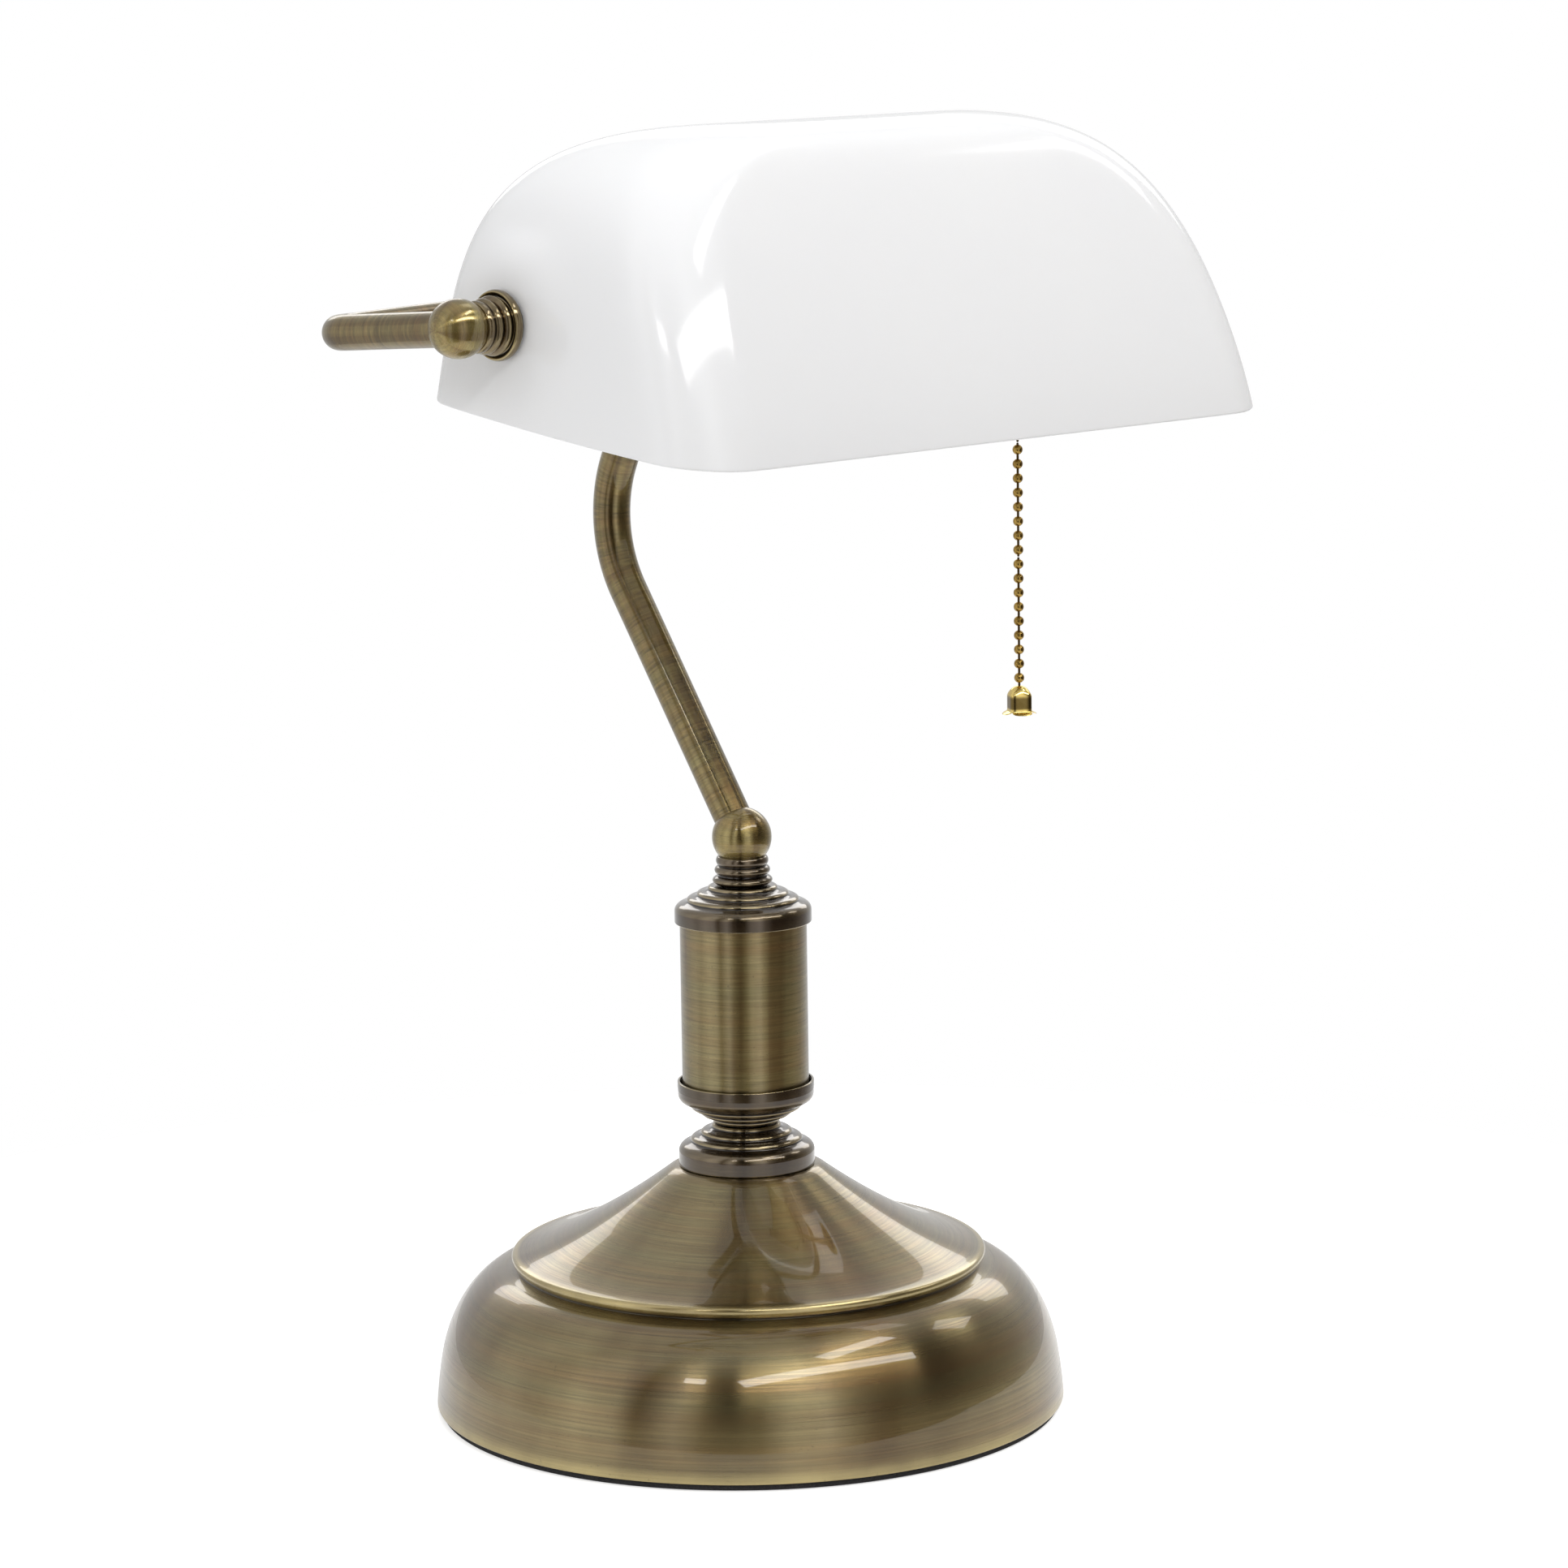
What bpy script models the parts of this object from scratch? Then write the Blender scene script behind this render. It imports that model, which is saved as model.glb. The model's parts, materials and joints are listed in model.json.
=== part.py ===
"""Banker's desk lamp with a weighted round base, a bent stem, a U-shaped yoke and a tilting glass shade.

World frame: origin at the centre of the base's underside, +Z up, +X along the shade's long side and
-Y towards the person who sits at the lamp. Dimensions below are in millimetres; MM turns them into metres.
"""
import math

import bmesh
import bpy
from mathutils import Matrix, Vector

MM = 0.001
GAP = 0.3                      # clearance between pieces that touch
MERGE = 0.00001                # merge distance of the modifiers, metres

# --- base -------------------------------------------------------------------------------------------------
PAD_RADIUS = 87.6
PAD_TOP = 1.5
RIM_RADIUS = 89.1              # rolled edge of the base cover
RIM_BOTTOM = 1.8
BOWL_TOP_RADIUS = 65.3
BOWL_TOP = 40.3
BOWL_RADIUS = 87.8
BOWL_BOTTOM = 9.4
LIP_RADIUS = 66.9              # raised ring between bowl and cone
LIP_BOTTOM = 42.6
LIP_TOP = 44.6
CONE_TOP_RADIUS = 21.0
CONE_TOP = 68.9
COVER_WALL = 1.2
COVER_STEPS = 32
PLATE_RADIUS = 86.4
PLATE_BOTTOM = 1.8
PLATE_TOP = 2.8
WEIGHT_RADIUS = 84.0
WEIGHT_BOTTOM = 3.1
WEIGHT_TOP = 11.1
WEIGHT_BOSS_RADIUS = 20.0
WEIGHT_BOSS_TOP = 18.0
WEIGHT_RECESS_RADIUS = 13.0
WEIGHT_RECESS_TOP = 10.1
GROMMET_HEIGHT = 18.0
GROMMET_BORE = 3.1
GROMMET_BODY = 4.2
GROMMET_FLANGE = 6.2

# --- column -----------------------------------------------------------------------------------------------
ROD_RADIUS = 4.8               # hollow threaded rod that clamps base and column together
ROD_BORE = 3.4
ROD_BOTTOM = 3.3
ROD_TOP = 160.4
CAP_WALL = 0.9
BASE_CAP_BOTTOM = 69.2
CUP_TOP = 93.1
CUP_HEIGHT = 11.75
COLUMN_CAP_BOTTOM = 138.5
COLUMN_CAP_HEIGHT = 10.3
# neck cap outline: radius, share of the cap's height
CAP_OUTLINE = [(9.85, 1.0), (9.85, 0.89), (12.9, 0.84), (12.9, 0.74), (15.7, 0.69), (15.7, 0.60),
               (17.7, 0.52), (19.2, 0.36), (19.2, 0.0)]
TUBE_RADIUS = 17.8
TUBE_WALL = 1.0
TUBE_BOTTOM = 89.5
TUBE_TOP = 141.5
BALL_RADIUS = 8.35
BALL_HEIGHT = 162.6            # centre of the ball on the column
COLLAR_TOP = 157.1
# ribbed collar outline for the column: radius, distance below the ball's centre
COLLAR_OUTLINE = [(6.95, 5.5), (7.35, 6.2), (7.35, 7.6), (6.6, 8.0), (6.6, 8.4), (7.7, 8.8), (7.7, 10.0),
                  (6.9, 10.4), (6.9, 10.8), (8.35, 11.3), (8.35, 13.4)]

# --- stem and yoke ----------------------------------------------------------------------------------------
STEM_RADIUS = 5.3
STEM_WALL = 1.0
STEM_BEND = 37.0               # centreline radius of the stem's bend
STEM_KNEE_Y = 51.1             # the stem's rearmost centreline point
STEM_KNEE_Z = 249.0
PIVOT_Y = -28.2                # shade pivot axis, along X
PIVOT_Z = 313.8
YOKE_HALF = 124.1              # pivot ball centres at +-X
YOKE_BACK_Y = 26.0
YOKE_BACK_Z = 312.0            # middle of the back bar, which rises a little between its corners
YOKE_CORNER_Z = 310.0
YOKE_FLAT = 8.0                # half length of the bar's level middle
YOKE_RADIUS = 4.7
YOKE_WALL = 0.9
YOKE_CORNER = 11.0
END_BALL_RADIUS = 7.75
END_SCALE = 0.93               # the pivot collars are the column collar at this scale
NIPPLE_RADIUS = 4.2
NIPPLE_BORE = 2.8
FLANGE_RADIUS = 9.2
FLANGE_OUTER = 111.1           # distances from the middle of the lamp along X
FLANGE_INNER = 109.9

# --- glass shade, measured from the pivot axis before it is tilted ----------------------------------------
SHADE_TILT = math.radians(7.2)
SHADE_HALF = 112.7             # half length at the rim
SHADE_FRONT = 78.8
SHADE_BACK = 31.0
SHADE_RIM = 24.7               # rim below the pivot
SHADE_HEIGHT = 75.9
SHADE_RIDGE = -31.3            # the ridge lies this far behind the pivot
SHADE_FLARE = 0.10             # the ends lean in by this much per unit of height
SHADE_CROWN = 17.0             # half length of the flattest part of the ridge
SHADE_FRONT_POWER = 1.25
SHADE_BACK_POWER = 3.5
SHADE_END_POWER = 4.0
SHADE_FRONT_CORNER = 18.0
SHADE_BACK_CORNER = 12.0
SHADE_BOW = 3.2                # the ends bulge by this much in plan
SHADE_WALL = 3.5
SHADE_SEAT = 108.6             # flat spot around each pivot hole
SHADE_SEAT_RADIUS = 17.0
SHADE_HOLE = 5.0
SHADE_LEVELS = 12

# --- lampholder, on the right-hand nipple -----------------------------------------------------------------
HOLDER_RADIUS = 16.2
HOLDER_MOUTH = 44.0            # X of the open end
HOLDER_BACK = 89.8
HOLDER_CAP_SKIRT = 88.0
HOLDER_CAP_NECK = 99.9
BLOCK_RADIUS = 14.3
BLOCK_FRONT = 72.0
BLOCK_BACK = 90.8
SCREW_RADIUS = 13.9
BULB_RADIUS = 15.0
BULB_END = -52.0

# --- pull chain -------------------------------------------------------------------------------------------
CHAIN_X = 83.5
BEAD_RADIUS = 1.45
BEAD_PITCH = 4.08
LINK_RADIUS = 0.34
LOWEST_BEAD = 200.4
OUTLET_BOTTOM = 286.9
OUTLET_TOP = 301.0
STOP_BEAD = 318.2
PULL_TOP = 198.2
PULL_RADIUS = 3.5
LEVER_PIN_Y = PIVOT_Y + 10.0
LEVER_PIN_Z = PIVOT_Z - 2.0
LEVER_RISE = math.radians(17.2)
CHAIN_HINGES = [LOWEST_BEAD + 20.5 * BEAD_PITCH, LOWEST_BEAD + 16.5 * BEAD_PITCH,
                LOWEST_BEAD + 8.5 * BEAD_PITCH, LOWEST_BEAD - 0.5 * BEAD_PITCH + 0.02]

COLOURS = {
    "antique_brass": ((0.30, 0.22, 0.11, 1.0), 0.34, 1.0),
    "polished_brass": ((0.72, 0.50, 0.16, 1.0), 0.22, 1.0),
    "opal_glass": ((0.90, 0.90, 0.89, 1.0), 0.06, 0.0),
    "bulb_glass": ((0.93, 0.93, 0.90, 1.0), 0.25, 0.0),
    "zinc_steel": ((0.58, 0.59, 0.60, 1.0), 0.38, 1.0),
    "cast_iron": ((0.12, 0.12, 0.13, 1.0), 0.65, 1.0),
    "black_felt": ((0.02, 0.02, 0.02, 1.0), 0.95, 0.0),
    "black_rubber": ((0.03, 0.03, 0.03, 1.0), 0.75, 0.0),
    "phenolic": ((0.05, 0.035, 0.03, 1.0), 0.40, 0.0),
    "card_liner": ((0.36, 0.27, 0.18, 1.0), 0.90, 0.0),
    "aluminium": ((0.75, 0.76, 0.77, 1.0), 0.30, 1.0),
}

ALONG_X = Matrix.Rotation(math.radians(90.0), 4, "Y")      # local +Z becomes world +X
ALONG_MINUS_X = Matrix.Rotation(math.radians(-90.0), 4, "Y")
ALONG_Y = Matrix.Rotation(math.radians(-90.0), 4, "X")     # local +Z becomes world +Y


# --- helpers ----------------------------------------------------------------------------------------------
def clear_scene():
    for item in list(bpy.data.objects):
        bpy.data.objects.remove(item, do_unlink=True)


def make_collection(name):
    collection = bpy.data.collections.new(name)
    bpy.context.scene.collection.children.link(collection)
    return collection


def make_material(name):
    colour, roughness, metallic = COLOURS[name]
    material = bpy.data.materials.new(name)
    material.use_nodes = True
    shader = material.node_tree.nodes["Principled BSDF"]
    shader.inputs["Base Color"].default_value = colour
    shader.inputs["Roughness"].default_value = roughness
    shader.inputs["Metallic"].default_value = metallic
    material.diffuse_color = colour
    return material


def point(x, y, z):
    return Vector((x, y, z)) * MM


def place(obj, material_name, location=(0.0, 0.0, 0.0), turn=None, collection=None):
    (collection or LAMP).objects.link(obj)
    matrix = Matrix.Translation(point(*location))
    if turn is not None:
        matrix = matrix @ turn
    obj.matrix_world = matrix
    if material_name:
        obj.data.materials.append(MATERIALS[material_name])
    return obj


def smooth(obj, angle=40.0):
    obj.data.shade_smooth()
    obj.data.set_sharp_from_angle(angle=math.radians(angle))


def profile_mesh(name, profile, closed):
    mesh = bpy.data.meshes.new(name)
    vertices = [point(radius, 0.0, height) for radius, height in profile]
    edges = [(i, i + 1) for i in range(len(vertices) - 1)]
    if closed:
        edges.append((len(vertices) - 1, 0))
    mesh.from_pydata(vertices, edges, [])
    return mesh


def add_screw(obj, steps):
    screw = obj.modifiers.new("Turn", "SCREW")
    screw.axis = "Z"
    screw.steps = steps
    screw.render_steps = steps
    screw.use_merge_vertices = True
    screw.merge_threshold = MERGE
    screw.use_smooth_shade = True


def turned(name, profile, material, steps=24, location=(0, 0, 0), turn=None, ring=False):
    """A solid of revolution: the profile runs down its outer side; a ring's profile is a closed loop."""
    obj = bpy.data.objects.new(name, profile_mesh(name, profile, ring))
    place(obj, material, location, turn)
    add_screw(obj, steps)
    return obj


def turned_shell(name, profile, wall, material, steps=16, location=(0, 0, 0), turn=None):
    """A thin turned sheet: the profile is its outer face, and the wall grows inwards."""
    obj = turned(name, profile, material, steps, location, turn)
    solidify = obj.modifiers.new("Wall", "SOLIDIFY")
    solidify.thickness = wall * MM
    solidify.offset = -1.0
    solidify.use_even_offset = True
    solidify.use_rim = True
    return obj


def sleeve(outer, inner, bottom, top):
    """Closed profile of a plain ring, down the outer side and up the bore."""
    return [(outer, top), (outer, bottom), (inner, bottom), (inner, top)]


def baked(obj):
    """The object's evaluated shape as a plain mesh object with its caps welded."""
    depsgraph = bpy.context.evaluated_depsgraph_get()
    mesh = bpy.data.meshes.new_from_object(obj.evaluated_get(depsgraph))
    work = bmesh.new()
    work.from_mesh(mesh)
    bmesh.ops.remove_doubles(work, verts=work.verts, dist=MERGE)
    work.to_mesh(mesh)
    work.free()
    name = obj.name
    matrix = obj.matrix_world.copy()
    collection = obj.users_collection[0]
    bpy.data.objects.remove(obj, do_unlink=True)
    solid = bpy.data.objects.new(name, mesh)
    collection.objects.link(solid)
    solid.matrix_world = matrix
    return solid


def tube_curve(name, points, radius, sides, caps):
    curve = bpy.data.curves.new(name, "CURVE")
    curve.dimensions = "3D"
    curve.bevel_depth = radius * MM
    curve.bevel_resolution = sides
    curve.use_fill_caps = caps
    spline = curve.splines.new("POLY")
    spline.points.add(len(points) - 1)
    for target, source in zip(spline.points, points):
        target.co = (*(Vector(source) * MM), 1.0)
    return bpy.data.objects.new(name, curve)


def bent_tube(name, points, radius, wall, material, sides=4):
    """A hollow tube along the points, open at both ends."""
    tube = tube_curve(name, points, radius, sides, False)
    place(tube, material)
    bpy.context.view_layer.update()
    tube = baked(tube)
    solidify = tube.modifiers.new("Wall", "SOLIDIFY")
    solidify.thickness = wall * MM
    solidify.offset = -1.0
    solidify.use_even_offset = True
    return tube


def cylinder_cutter(name, start, end, radius, sides=20):
    """A wire-drawn cylinder from start to end, used only to cut."""
    start = point(*start)
    end = point(*end)
    work = bmesh.new()
    bmesh.ops.create_cone(work, cap_ends=True, segments=sides, radius1=radius * MM, radius2=radius * MM,
                          depth=(end - start).length)
    mesh = bpy.data.meshes.new(name)
    work.to_mesh(mesh)
    work.free()
    cutter = bpy.data.objects.new(name, mesh)
    CUTTERS.objects.link(cutter)
    cutter.matrix_world = (Matrix.Translation((start + end) / 2)
                           @ (end - start).to_track_quat("Z", "Y").to_matrix().to_4x4())
    cutter.display_type = "WIRE"
    cutter.hide_render = True
    return cutter


def box_cutter(name, low, high):
    work = bmesh.new()
    bmesh.ops.create_cube(work, size=1.0)
    mesh = bpy.data.meshes.new(name)
    work.to_mesh(mesh)
    work.free()
    cutter = bpy.data.objects.new(name, mesh)
    CUTTERS.objects.link(cutter)
    low = point(*low)
    high = point(*high)
    size = high - low
    cutter.matrix_world = Matrix.Translation((low + high) / 2) @ Matrix.Diagonal((*size, 1.0))
    cutter.display_type = "WIRE"
    cutter.hide_render = True
    return cutter


def cut(obj, cutter):
    boolean = obj.modifiers.new("Cut " + cutter.name, "BOOLEAN")
    boolean.operation = "DIFFERENCE"
    boolean.solver = "EXACT"
    boolean.object = cutter


def hex_nut(name, radius, bottom, top, hole, location=(0, 0, 0), turn=None):
    """Hexagonal nut with a round hole; radius is measured to its corners."""
    outline = [(0.0, top), (radius, top), (radius, bottom), (0.0, bottom)]
    nut = turned(name, outline, "zinc_steel", 6, location,
                 turn)
    nut.data.shade_flat()
    ends = [nut.matrix_world @ point(0, 0, z) / MM for z in (bottom - 2, top + 2)]
    cut(nut, cylinder_cutter(name + "_hole", *ends, hole, 16))
    return nut


def make_empty(name, location):
    empty = bpy.data.objects.new(name, None)
    empty.empty_display_size = 0.01
    LAMP.objects.link(empty)
    empty.matrix_world = Matrix.Translation(point(*location))
    return empty


def hang_on(parent, *children):
    """Parents the children without moving them."""
    for child in children:
        matrix = child.matrix_world.copy()
        child.parent = parent
        child.matrix_parent_inverse = parent.matrix_world.inverted()
        child.matrix_world = matrix


def arc(count, first, last):
    """Angles from first to last degrees, both included, in radians."""
    return [math.radians(first + (last - first) * i / (count - 1)) for i in range(count)]


# --- base -------------------------------------------------------------------------------------------------
def cover_outline():
    """Outer face of the base cover, from the rod hole down to the rolled rim."""
    outline = [(ROD_RADIUS + 0.6, CONE_TOP), (CONE_TOP_RADIUS, CONE_TOP)]
    for i in range(1, 6):
        share = i / 5
        radius = CONE_TOP_RADIUS + (LIP_RADIUS - 1.6 - CONE_TOP_RADIUS) * share
        drop = 0.35 * (1 - share) + 0.65 * (1 - share) ** 1.6
        outline.append((radius, LIP_TOP + (CONE_TOP - LIP_TOP) * drop))
    outline += [(LIP_RADIUS, LIP_TOP - 0.7), (LIP_RADIUS, LIP_BOTTOM), (BOWL_TOP_RADIUS, BOWL_TOP + 0.4)]
    for angle in arc(6, 14, 90):
        radius = BOWL_TOP_RADIUS + (BOWL_RADIUS - BOWL_TOP_RADIUS) * math.sin(angle) ** 0.95
        height = BOWL_BOTTOM + (BOWL_TOP - BOWL_BOTTOM) * max(math.cos(angle), 0.0) ** 1.1
        outline.append((radius, height))
    outline += [(RIM_RADIUS, 3.4), (RIM_RADIUS, RIM_BOTTOM)]
    return outline


def build_base():
    turned("base_pad", [(0.0, PAD_TOP), (PAD_RADIUS, PAD_TOP), (PAD_RADIUS, 0.0), (0.0, 0.0)], "black_felt",
           COVER_STEPS)
    turned("bottom_plate", [(0.0, PLATE_TOP), (PLATE_RADIUS, PLATE_TOP), (PLATE_RADIUS, PLATE_BOTTOM),
                            (0.0, PLATE_BOTTOM)], "zinc_steel", COVER_STEPS)
    rod_hole = ROD_RADIUS + GAP
    turned("base_weight", [(WEIGHT_BOSS_RADIUS, WEIGHT_BOSS_TOP), (WEIGHT_BOSS_RADIUS, WEIGHT_TOP),
                           (WEIGHT_RADIUS - 1.5, WEIGHT_TOP), (WEIGHT_RADIUS, WEIGHT_TOP - 1.5),
                           (WEIGHT_RADIUS, WEIGHT_BOTTOM), (WEIGHT_RECESS_RADIUS, WEIGHT_BOTTOM),
                           (WEIGHT_RECESS_RADIUS, WEIGHT_RECESS_TOP), (rod_hole, WEIGHT_RECESS_TOP),
                           (rod_hole, WEIGHT_BOSS_TOP)], "cast_iron", 24, ring=True)
    turned("base_washer", sleeve(11.5, rod_hole, WEIGHT_RECESS_TOP - 1.8, WEIGHT_RECESS_TOP - GAP),
           "zinc_steel", 20, ring=True)
    hex_nut("base_nut", 8.2, WEIGHT_RECESS_TOP - 6.1, WEIGHT_RECESS_TOP - 2.1, rod_hole)
    cover = turned_shell("base_cover", cover_outline(), COVER_WALL, "antique_brass", COVER_STEPS)
    cut(cover, cylinder_cutter("cord_hole", (0, 70, GROMMET_HEIGHT), (0, 100, GROMMET_HEIGHT),
                               GROMMET_BODY + GAP))
    outer = BOWL_RADIUS
    turned("cord_grommet", [(GROMMET_FLANGE - 1.0, outer + 2.2), (GROMMET_FLANGE, outer + 1.2),
                            (GROMMET_FLANGE, outer + GAP), (GROMMET_BODY, outer + GAP),
                            (GROMMET_BODY, outer - 5.0), (GROMMET_BORE, outer - 5.0),
                            (GROMMET_BORE, outer + 2.2)], "black_rubber", 16,
           (0, 0, GROMMET_HEIGHT), ALONG_Y, ring=True)


# --- column -----------------------------------------------------------------------------------------------
def cap_outline(height):
    outline = [(ROD_RADIUS + 0.5, height)]
    outline += [(radius, share * height) for radius, share in CAP_OUTLINE]
    return outline


def collar_profile(scale, bore, seat):
    """Closed profile of a ribbed collar; heights run down from the ball's centre at zero."""
    outer = [(radius * scale, -depth * scale) for radius, depth in COLLAR_OUTLINE]
    top = outer[0][1]
    bottom = outer[-1][1]
    return outer + [(bore, bottom), (bore, top - 1.9), (seat, top)]


def build_column():
    rod_hole = ROD_RADIUS + GAP
    turned("threaded_rod", sleeve(ROD_RADIUS, ROD_BORE, ROD_BOTTOM, ROD_TOP), "zinc_steel", 16, ring=True)
    turned_shell("base_neck_cap", cap_outline(CUP_HEIGHT), CAP_WALL, "antique_brass",
                 location=(0, 0, BASE_CAP_BOTTOM))
    turned_shell("column_cup", cap_outline(CUP_HEIGHT), CAP_WALL, "antique_brass", location=(0, 0, CUP_TOP),
                 turn=Matrix.Rotation(math.pi, 4, "X"))
    turned("column_tube", sleeve(TUBE_RADIUS, TUBE_RADIUS - TUBE_WALL, TUBE_BOTTOM, TUBE_TOP),
           "antique_brass", 32, ring=True)
    turned_shell("column_cap", cap_outline(COLUMN_CAP_HEIGHT), CAP_WALL, "antique_brass",
                 location=(0, 0, COLUMN_CAP_BOTTOM))
    turned("column_collar", collar_profile(1.0, rod_hole, 6.9), "antique_brass", 16,
           location=(0, 0, BALL_HEIGHT), ring=True)


def ball(name, centre, radius, rows):
    """A sphere turned from a half circle."""
    profile = [(radius * math.sin(a), radius * math.cos(a)) for a in arc(rows, 0, 180)]
    profile[0] = (0.0, radius)
    profile[-1] = (0.0, -radius)
    return turned(name, profile, "antique_brass", 16, centre)


def tangent_angle(centre, radius, target, side):
    """Angle on the circle (centre, radius) where a tangent from target touches it; side is +1 or -1."""
    away = Vector(target) - Vector(centre)
    return math.atan2(away.y, away.x) + side * math.acos(radius / away.length)


def stem_path():
    """Centreline in the plane X = 0: a straight leg, a round knee and a leg that leans to the yoke."""
    centre = (STEM_KNEE_Y - STEM_BEND, STEM_KNEE_Z)
    low = tangent_angle(centre, STEM_BEND, (0.0, BALL_HEIGHT), 1)
    high = tangent_angle(centre, STEM_BEND, (YOKE_BACK_Y, YOKE_BACK_Z), -1)
    knee = []
    for i in range(9):
        angle = low + (high - low) * i / 8
        knee.append(Vector((0.0, centre[0] + STEM_BEND * math.cos(angle),
                            centre[1] + STEM_BEND * math.sin(angle))))
    foot = Vector((0.0, 0.0, BALL_HEIGHT))
    head = Vector((0.0, YOKE_BACK_Y, YOKE_BACK_Z))
    foot_direction = (knee[0] - foot).normalized()
    head_direction = (head - knee[-1]).normalized()
    return foot + foot_direction * 2.0, knee, head, foot_direction, head_direction


def build_stem():
    start, knee, head, foot_direction, head_direction = stem_path()
    top = bent_tube("stem_tube", [start] + knee + [head], STEM_RADIUS, STEM_WALL, "antique_brass", 4)
    saddle = cylinder_cutter("yoke_saddle", (-20, YOKE_BACK_Y, YOKE_BACK_Z), (20, YOKE_BACK_Y, YOKE_BACK_Z),
                             YOKE_RADIUS + GAP, 24)
    cut(top, saddle)
    body = ball("column_ball", (0, 0, BALL_HEIGHT), BALL_RADIUS, 11)
    cut(body, cylinder_cutter("column_ball_rod_hole", (0, 0, BALL_HEIGHT - 20), (0, 0, ROD_TOP + 0.9),
                              ROD_RADIUS + GAP))
    centre = Vector((0, 0, BALL_HEIGHT))
    cut(body, cylinder_cutter("column_ball_stem_hole", centre + foot_direction * 1.2,
                              centre + foot_direction * 30, STEM_RADIUS + GAP))
    return head_direction


def yoke_path():
    """U-shaped centreline from the left arm's tip round the back to the right arm's tip."""
    slope = (YOKE_CORNER_Z - PIVOT_Z) / (YOKE_BACK_Y - PIVOT_Y)

    def height(y):
        return PIVOT_Z + slope * (y - PIVOT_Y)

    tip = PIVOT_Y + 4.6
    left = [Vector((-YOKE_HALF, tip, height(tip)))]
    for angle in arc(5, 180, 90):
        y = YOKE_BACK_Y - YOKE_CORNER + YOKE_CORNER * math.sin(angle)
        x = -YOKE_HALF + YOKE_CORNER + YOKE_CORNER * math.cos(angle)
        left.append(Vector((x, y, height(y))))
    bar = YOKE_HALF - YOKE_CORNER
    for i in range(1, 7):
        share = 1 - i / 6
        rise = (YOKE_BACK_Z - YOKE_CORNER_Z) * (1 - share ** 2)
        left.append(Vector((-YOKE_FLAT - (bar - YOKE_FLAT) * share, YOKE_BACK_Y, YOKE_CORNER_Z + rise)))
    right = [Vector((-p.x, p.y, p.z)) for p in reversed(left)]
    return left + right


def build_yoke(head_direction):
    yoke = bent_tube("yoke_tube", yoke_path(), YOKE_RADIUS, YOKE_WALL, "antique_brass", 4)
    head = Vector((0, YOKE_BACK_Y, YOKE_BACK_Z))
    cut(yoke, cylinder_cutter("wire_hole", head - head_direction * 12, head, 2.6, 12))
    for side, sign in (("left", -1), ("right", 1)):
        centre = Vector((sign * YOKE_HALF, PIVOT_Y, PIVOT_Z))
        end = ball(side + "_end_ball", centre, END_BALL_RADIUS, 9)
        cut(end, cylinder_cutter(side + "_ball_arm_hole", centre + Vector((0, 4.2, -0.3)),
                                 centre + Vector((0, 20, -1.4)), YOKE_RADIUS + GAP))
        inward = Vector((-sign, 0, 0))
        cut(end, cylinder_cutter(side + "_ball_nipple_hole", centre + inward * 1.6, centre + inward * 20,
                                 NIPPLE_RADIUS + GAP))
        cut(end, cylinder_cutter(side + "_ball_wire_hole", centre + inward * 2.4,
                                 centre + inward * 2.4 + Vector((0, 6, 0)), 2.2, 12))


# --- shade and its pivots ---------------------------------------------------------------------------------
def shade_section(share, inset):
    """Plan outline of a face of the shade at a share of its height: (x, y) pairs, right half."""
    lift = share * (SHADE_HEIGHT - inset)
    front_depth = SHADE_FRONT - inset + SHADE_RIDGE
    front = SHADE_RIDGE - front_depth * (1 - share ** SHADE_FRONT_POWER) ** (1 / SHADE_FRONT_POWER)
    back_depth = SHADE_BACK - inset - SHADE_RIDGE
    back = SHADE_RIDGE + back_depth * (1 - share ** SHADE_BACK_POWER) ** (1 / SHADE_BACK_POWER)
    crown = SHADE_CROWN - inset
    half = crown + ((SHADE_HALF - inset - SHADE_FLARE * lift - crown)
                    * (1 - share ** SHADE_END_POWER) ** (1 / SHADE_END_POWER))
    depth = back - front
    front_corner = min(SHADE_FRONT_CORNER - inset, 0.5 * depth)
    back_corner = min(SHADE_BACK_CORNER - inset, 0.35 * depth)
    low = front + front_corner
    high = back - back_corner
    side = half - SHADE_BOW
    outline = [(0.0, front), (0.5 * (side - front_corner), front)]
    for angle in arc(6, 0, 90):
        outline.append((side - front_corner * (1 - math.sin(angle)), low - front_corner * math.cos(angle)))
    for i in range(1, 6):
        outline.append((side + SHADE_BOW * (1 - (2 * i / 6 - 1) ** 2), low + (high - low) * i / 6))
    for angle in arc(4, 0, 90):
        outline.append((side - back_corner * (1 - math.cos(angle)), high + back_corner * math.sin(angle)))
    outline.append((0.5 * (side - back_corner), back))
    outline.append((0.0, back))
    return outline


def seat_x(x, y, lift, seat):
    """Flattens the ends at X = seat around the pivot holes."""
    if abs(x) < seat - 6.0:
        return x
    blend = min(max((math.hypot(y, lift) - SHADE_SEAT_RADIUS) / 9.0, 0.0), 1.0)
    blend = blend * blend * (3 - 2 * blend)
    return math.copysign(seat + (abs(x) - seat) * blend, x)


def shade_rings(work, inset):
    rings = []
    for level in range(SHADE_LEVELS):
        share = math.sin(math.radians(86.0) * level / (SHADE_LEVELS - 1))
        lift = share * (SHADE_HEIGHT - inset) - SHADE_RIM
        half = shade_section(share, inset)
        full = half + [(-x, y) for x, y in reversed(half[1:-1])]
        rings.append([work.verts.new(point(seat_x(x, y, lift, SHADE_SEAT - inset), y, lift))
                      for x, y in full])
    return rings


def bridge(work, lower, upper):
    """Quads between two rings of the same length."""
    count = len(lower)
    for i in range(count):
        j = (i + 1) % count
        work.faces.new((lower[i], lower[j], upper[j], upper[i]))


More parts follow.
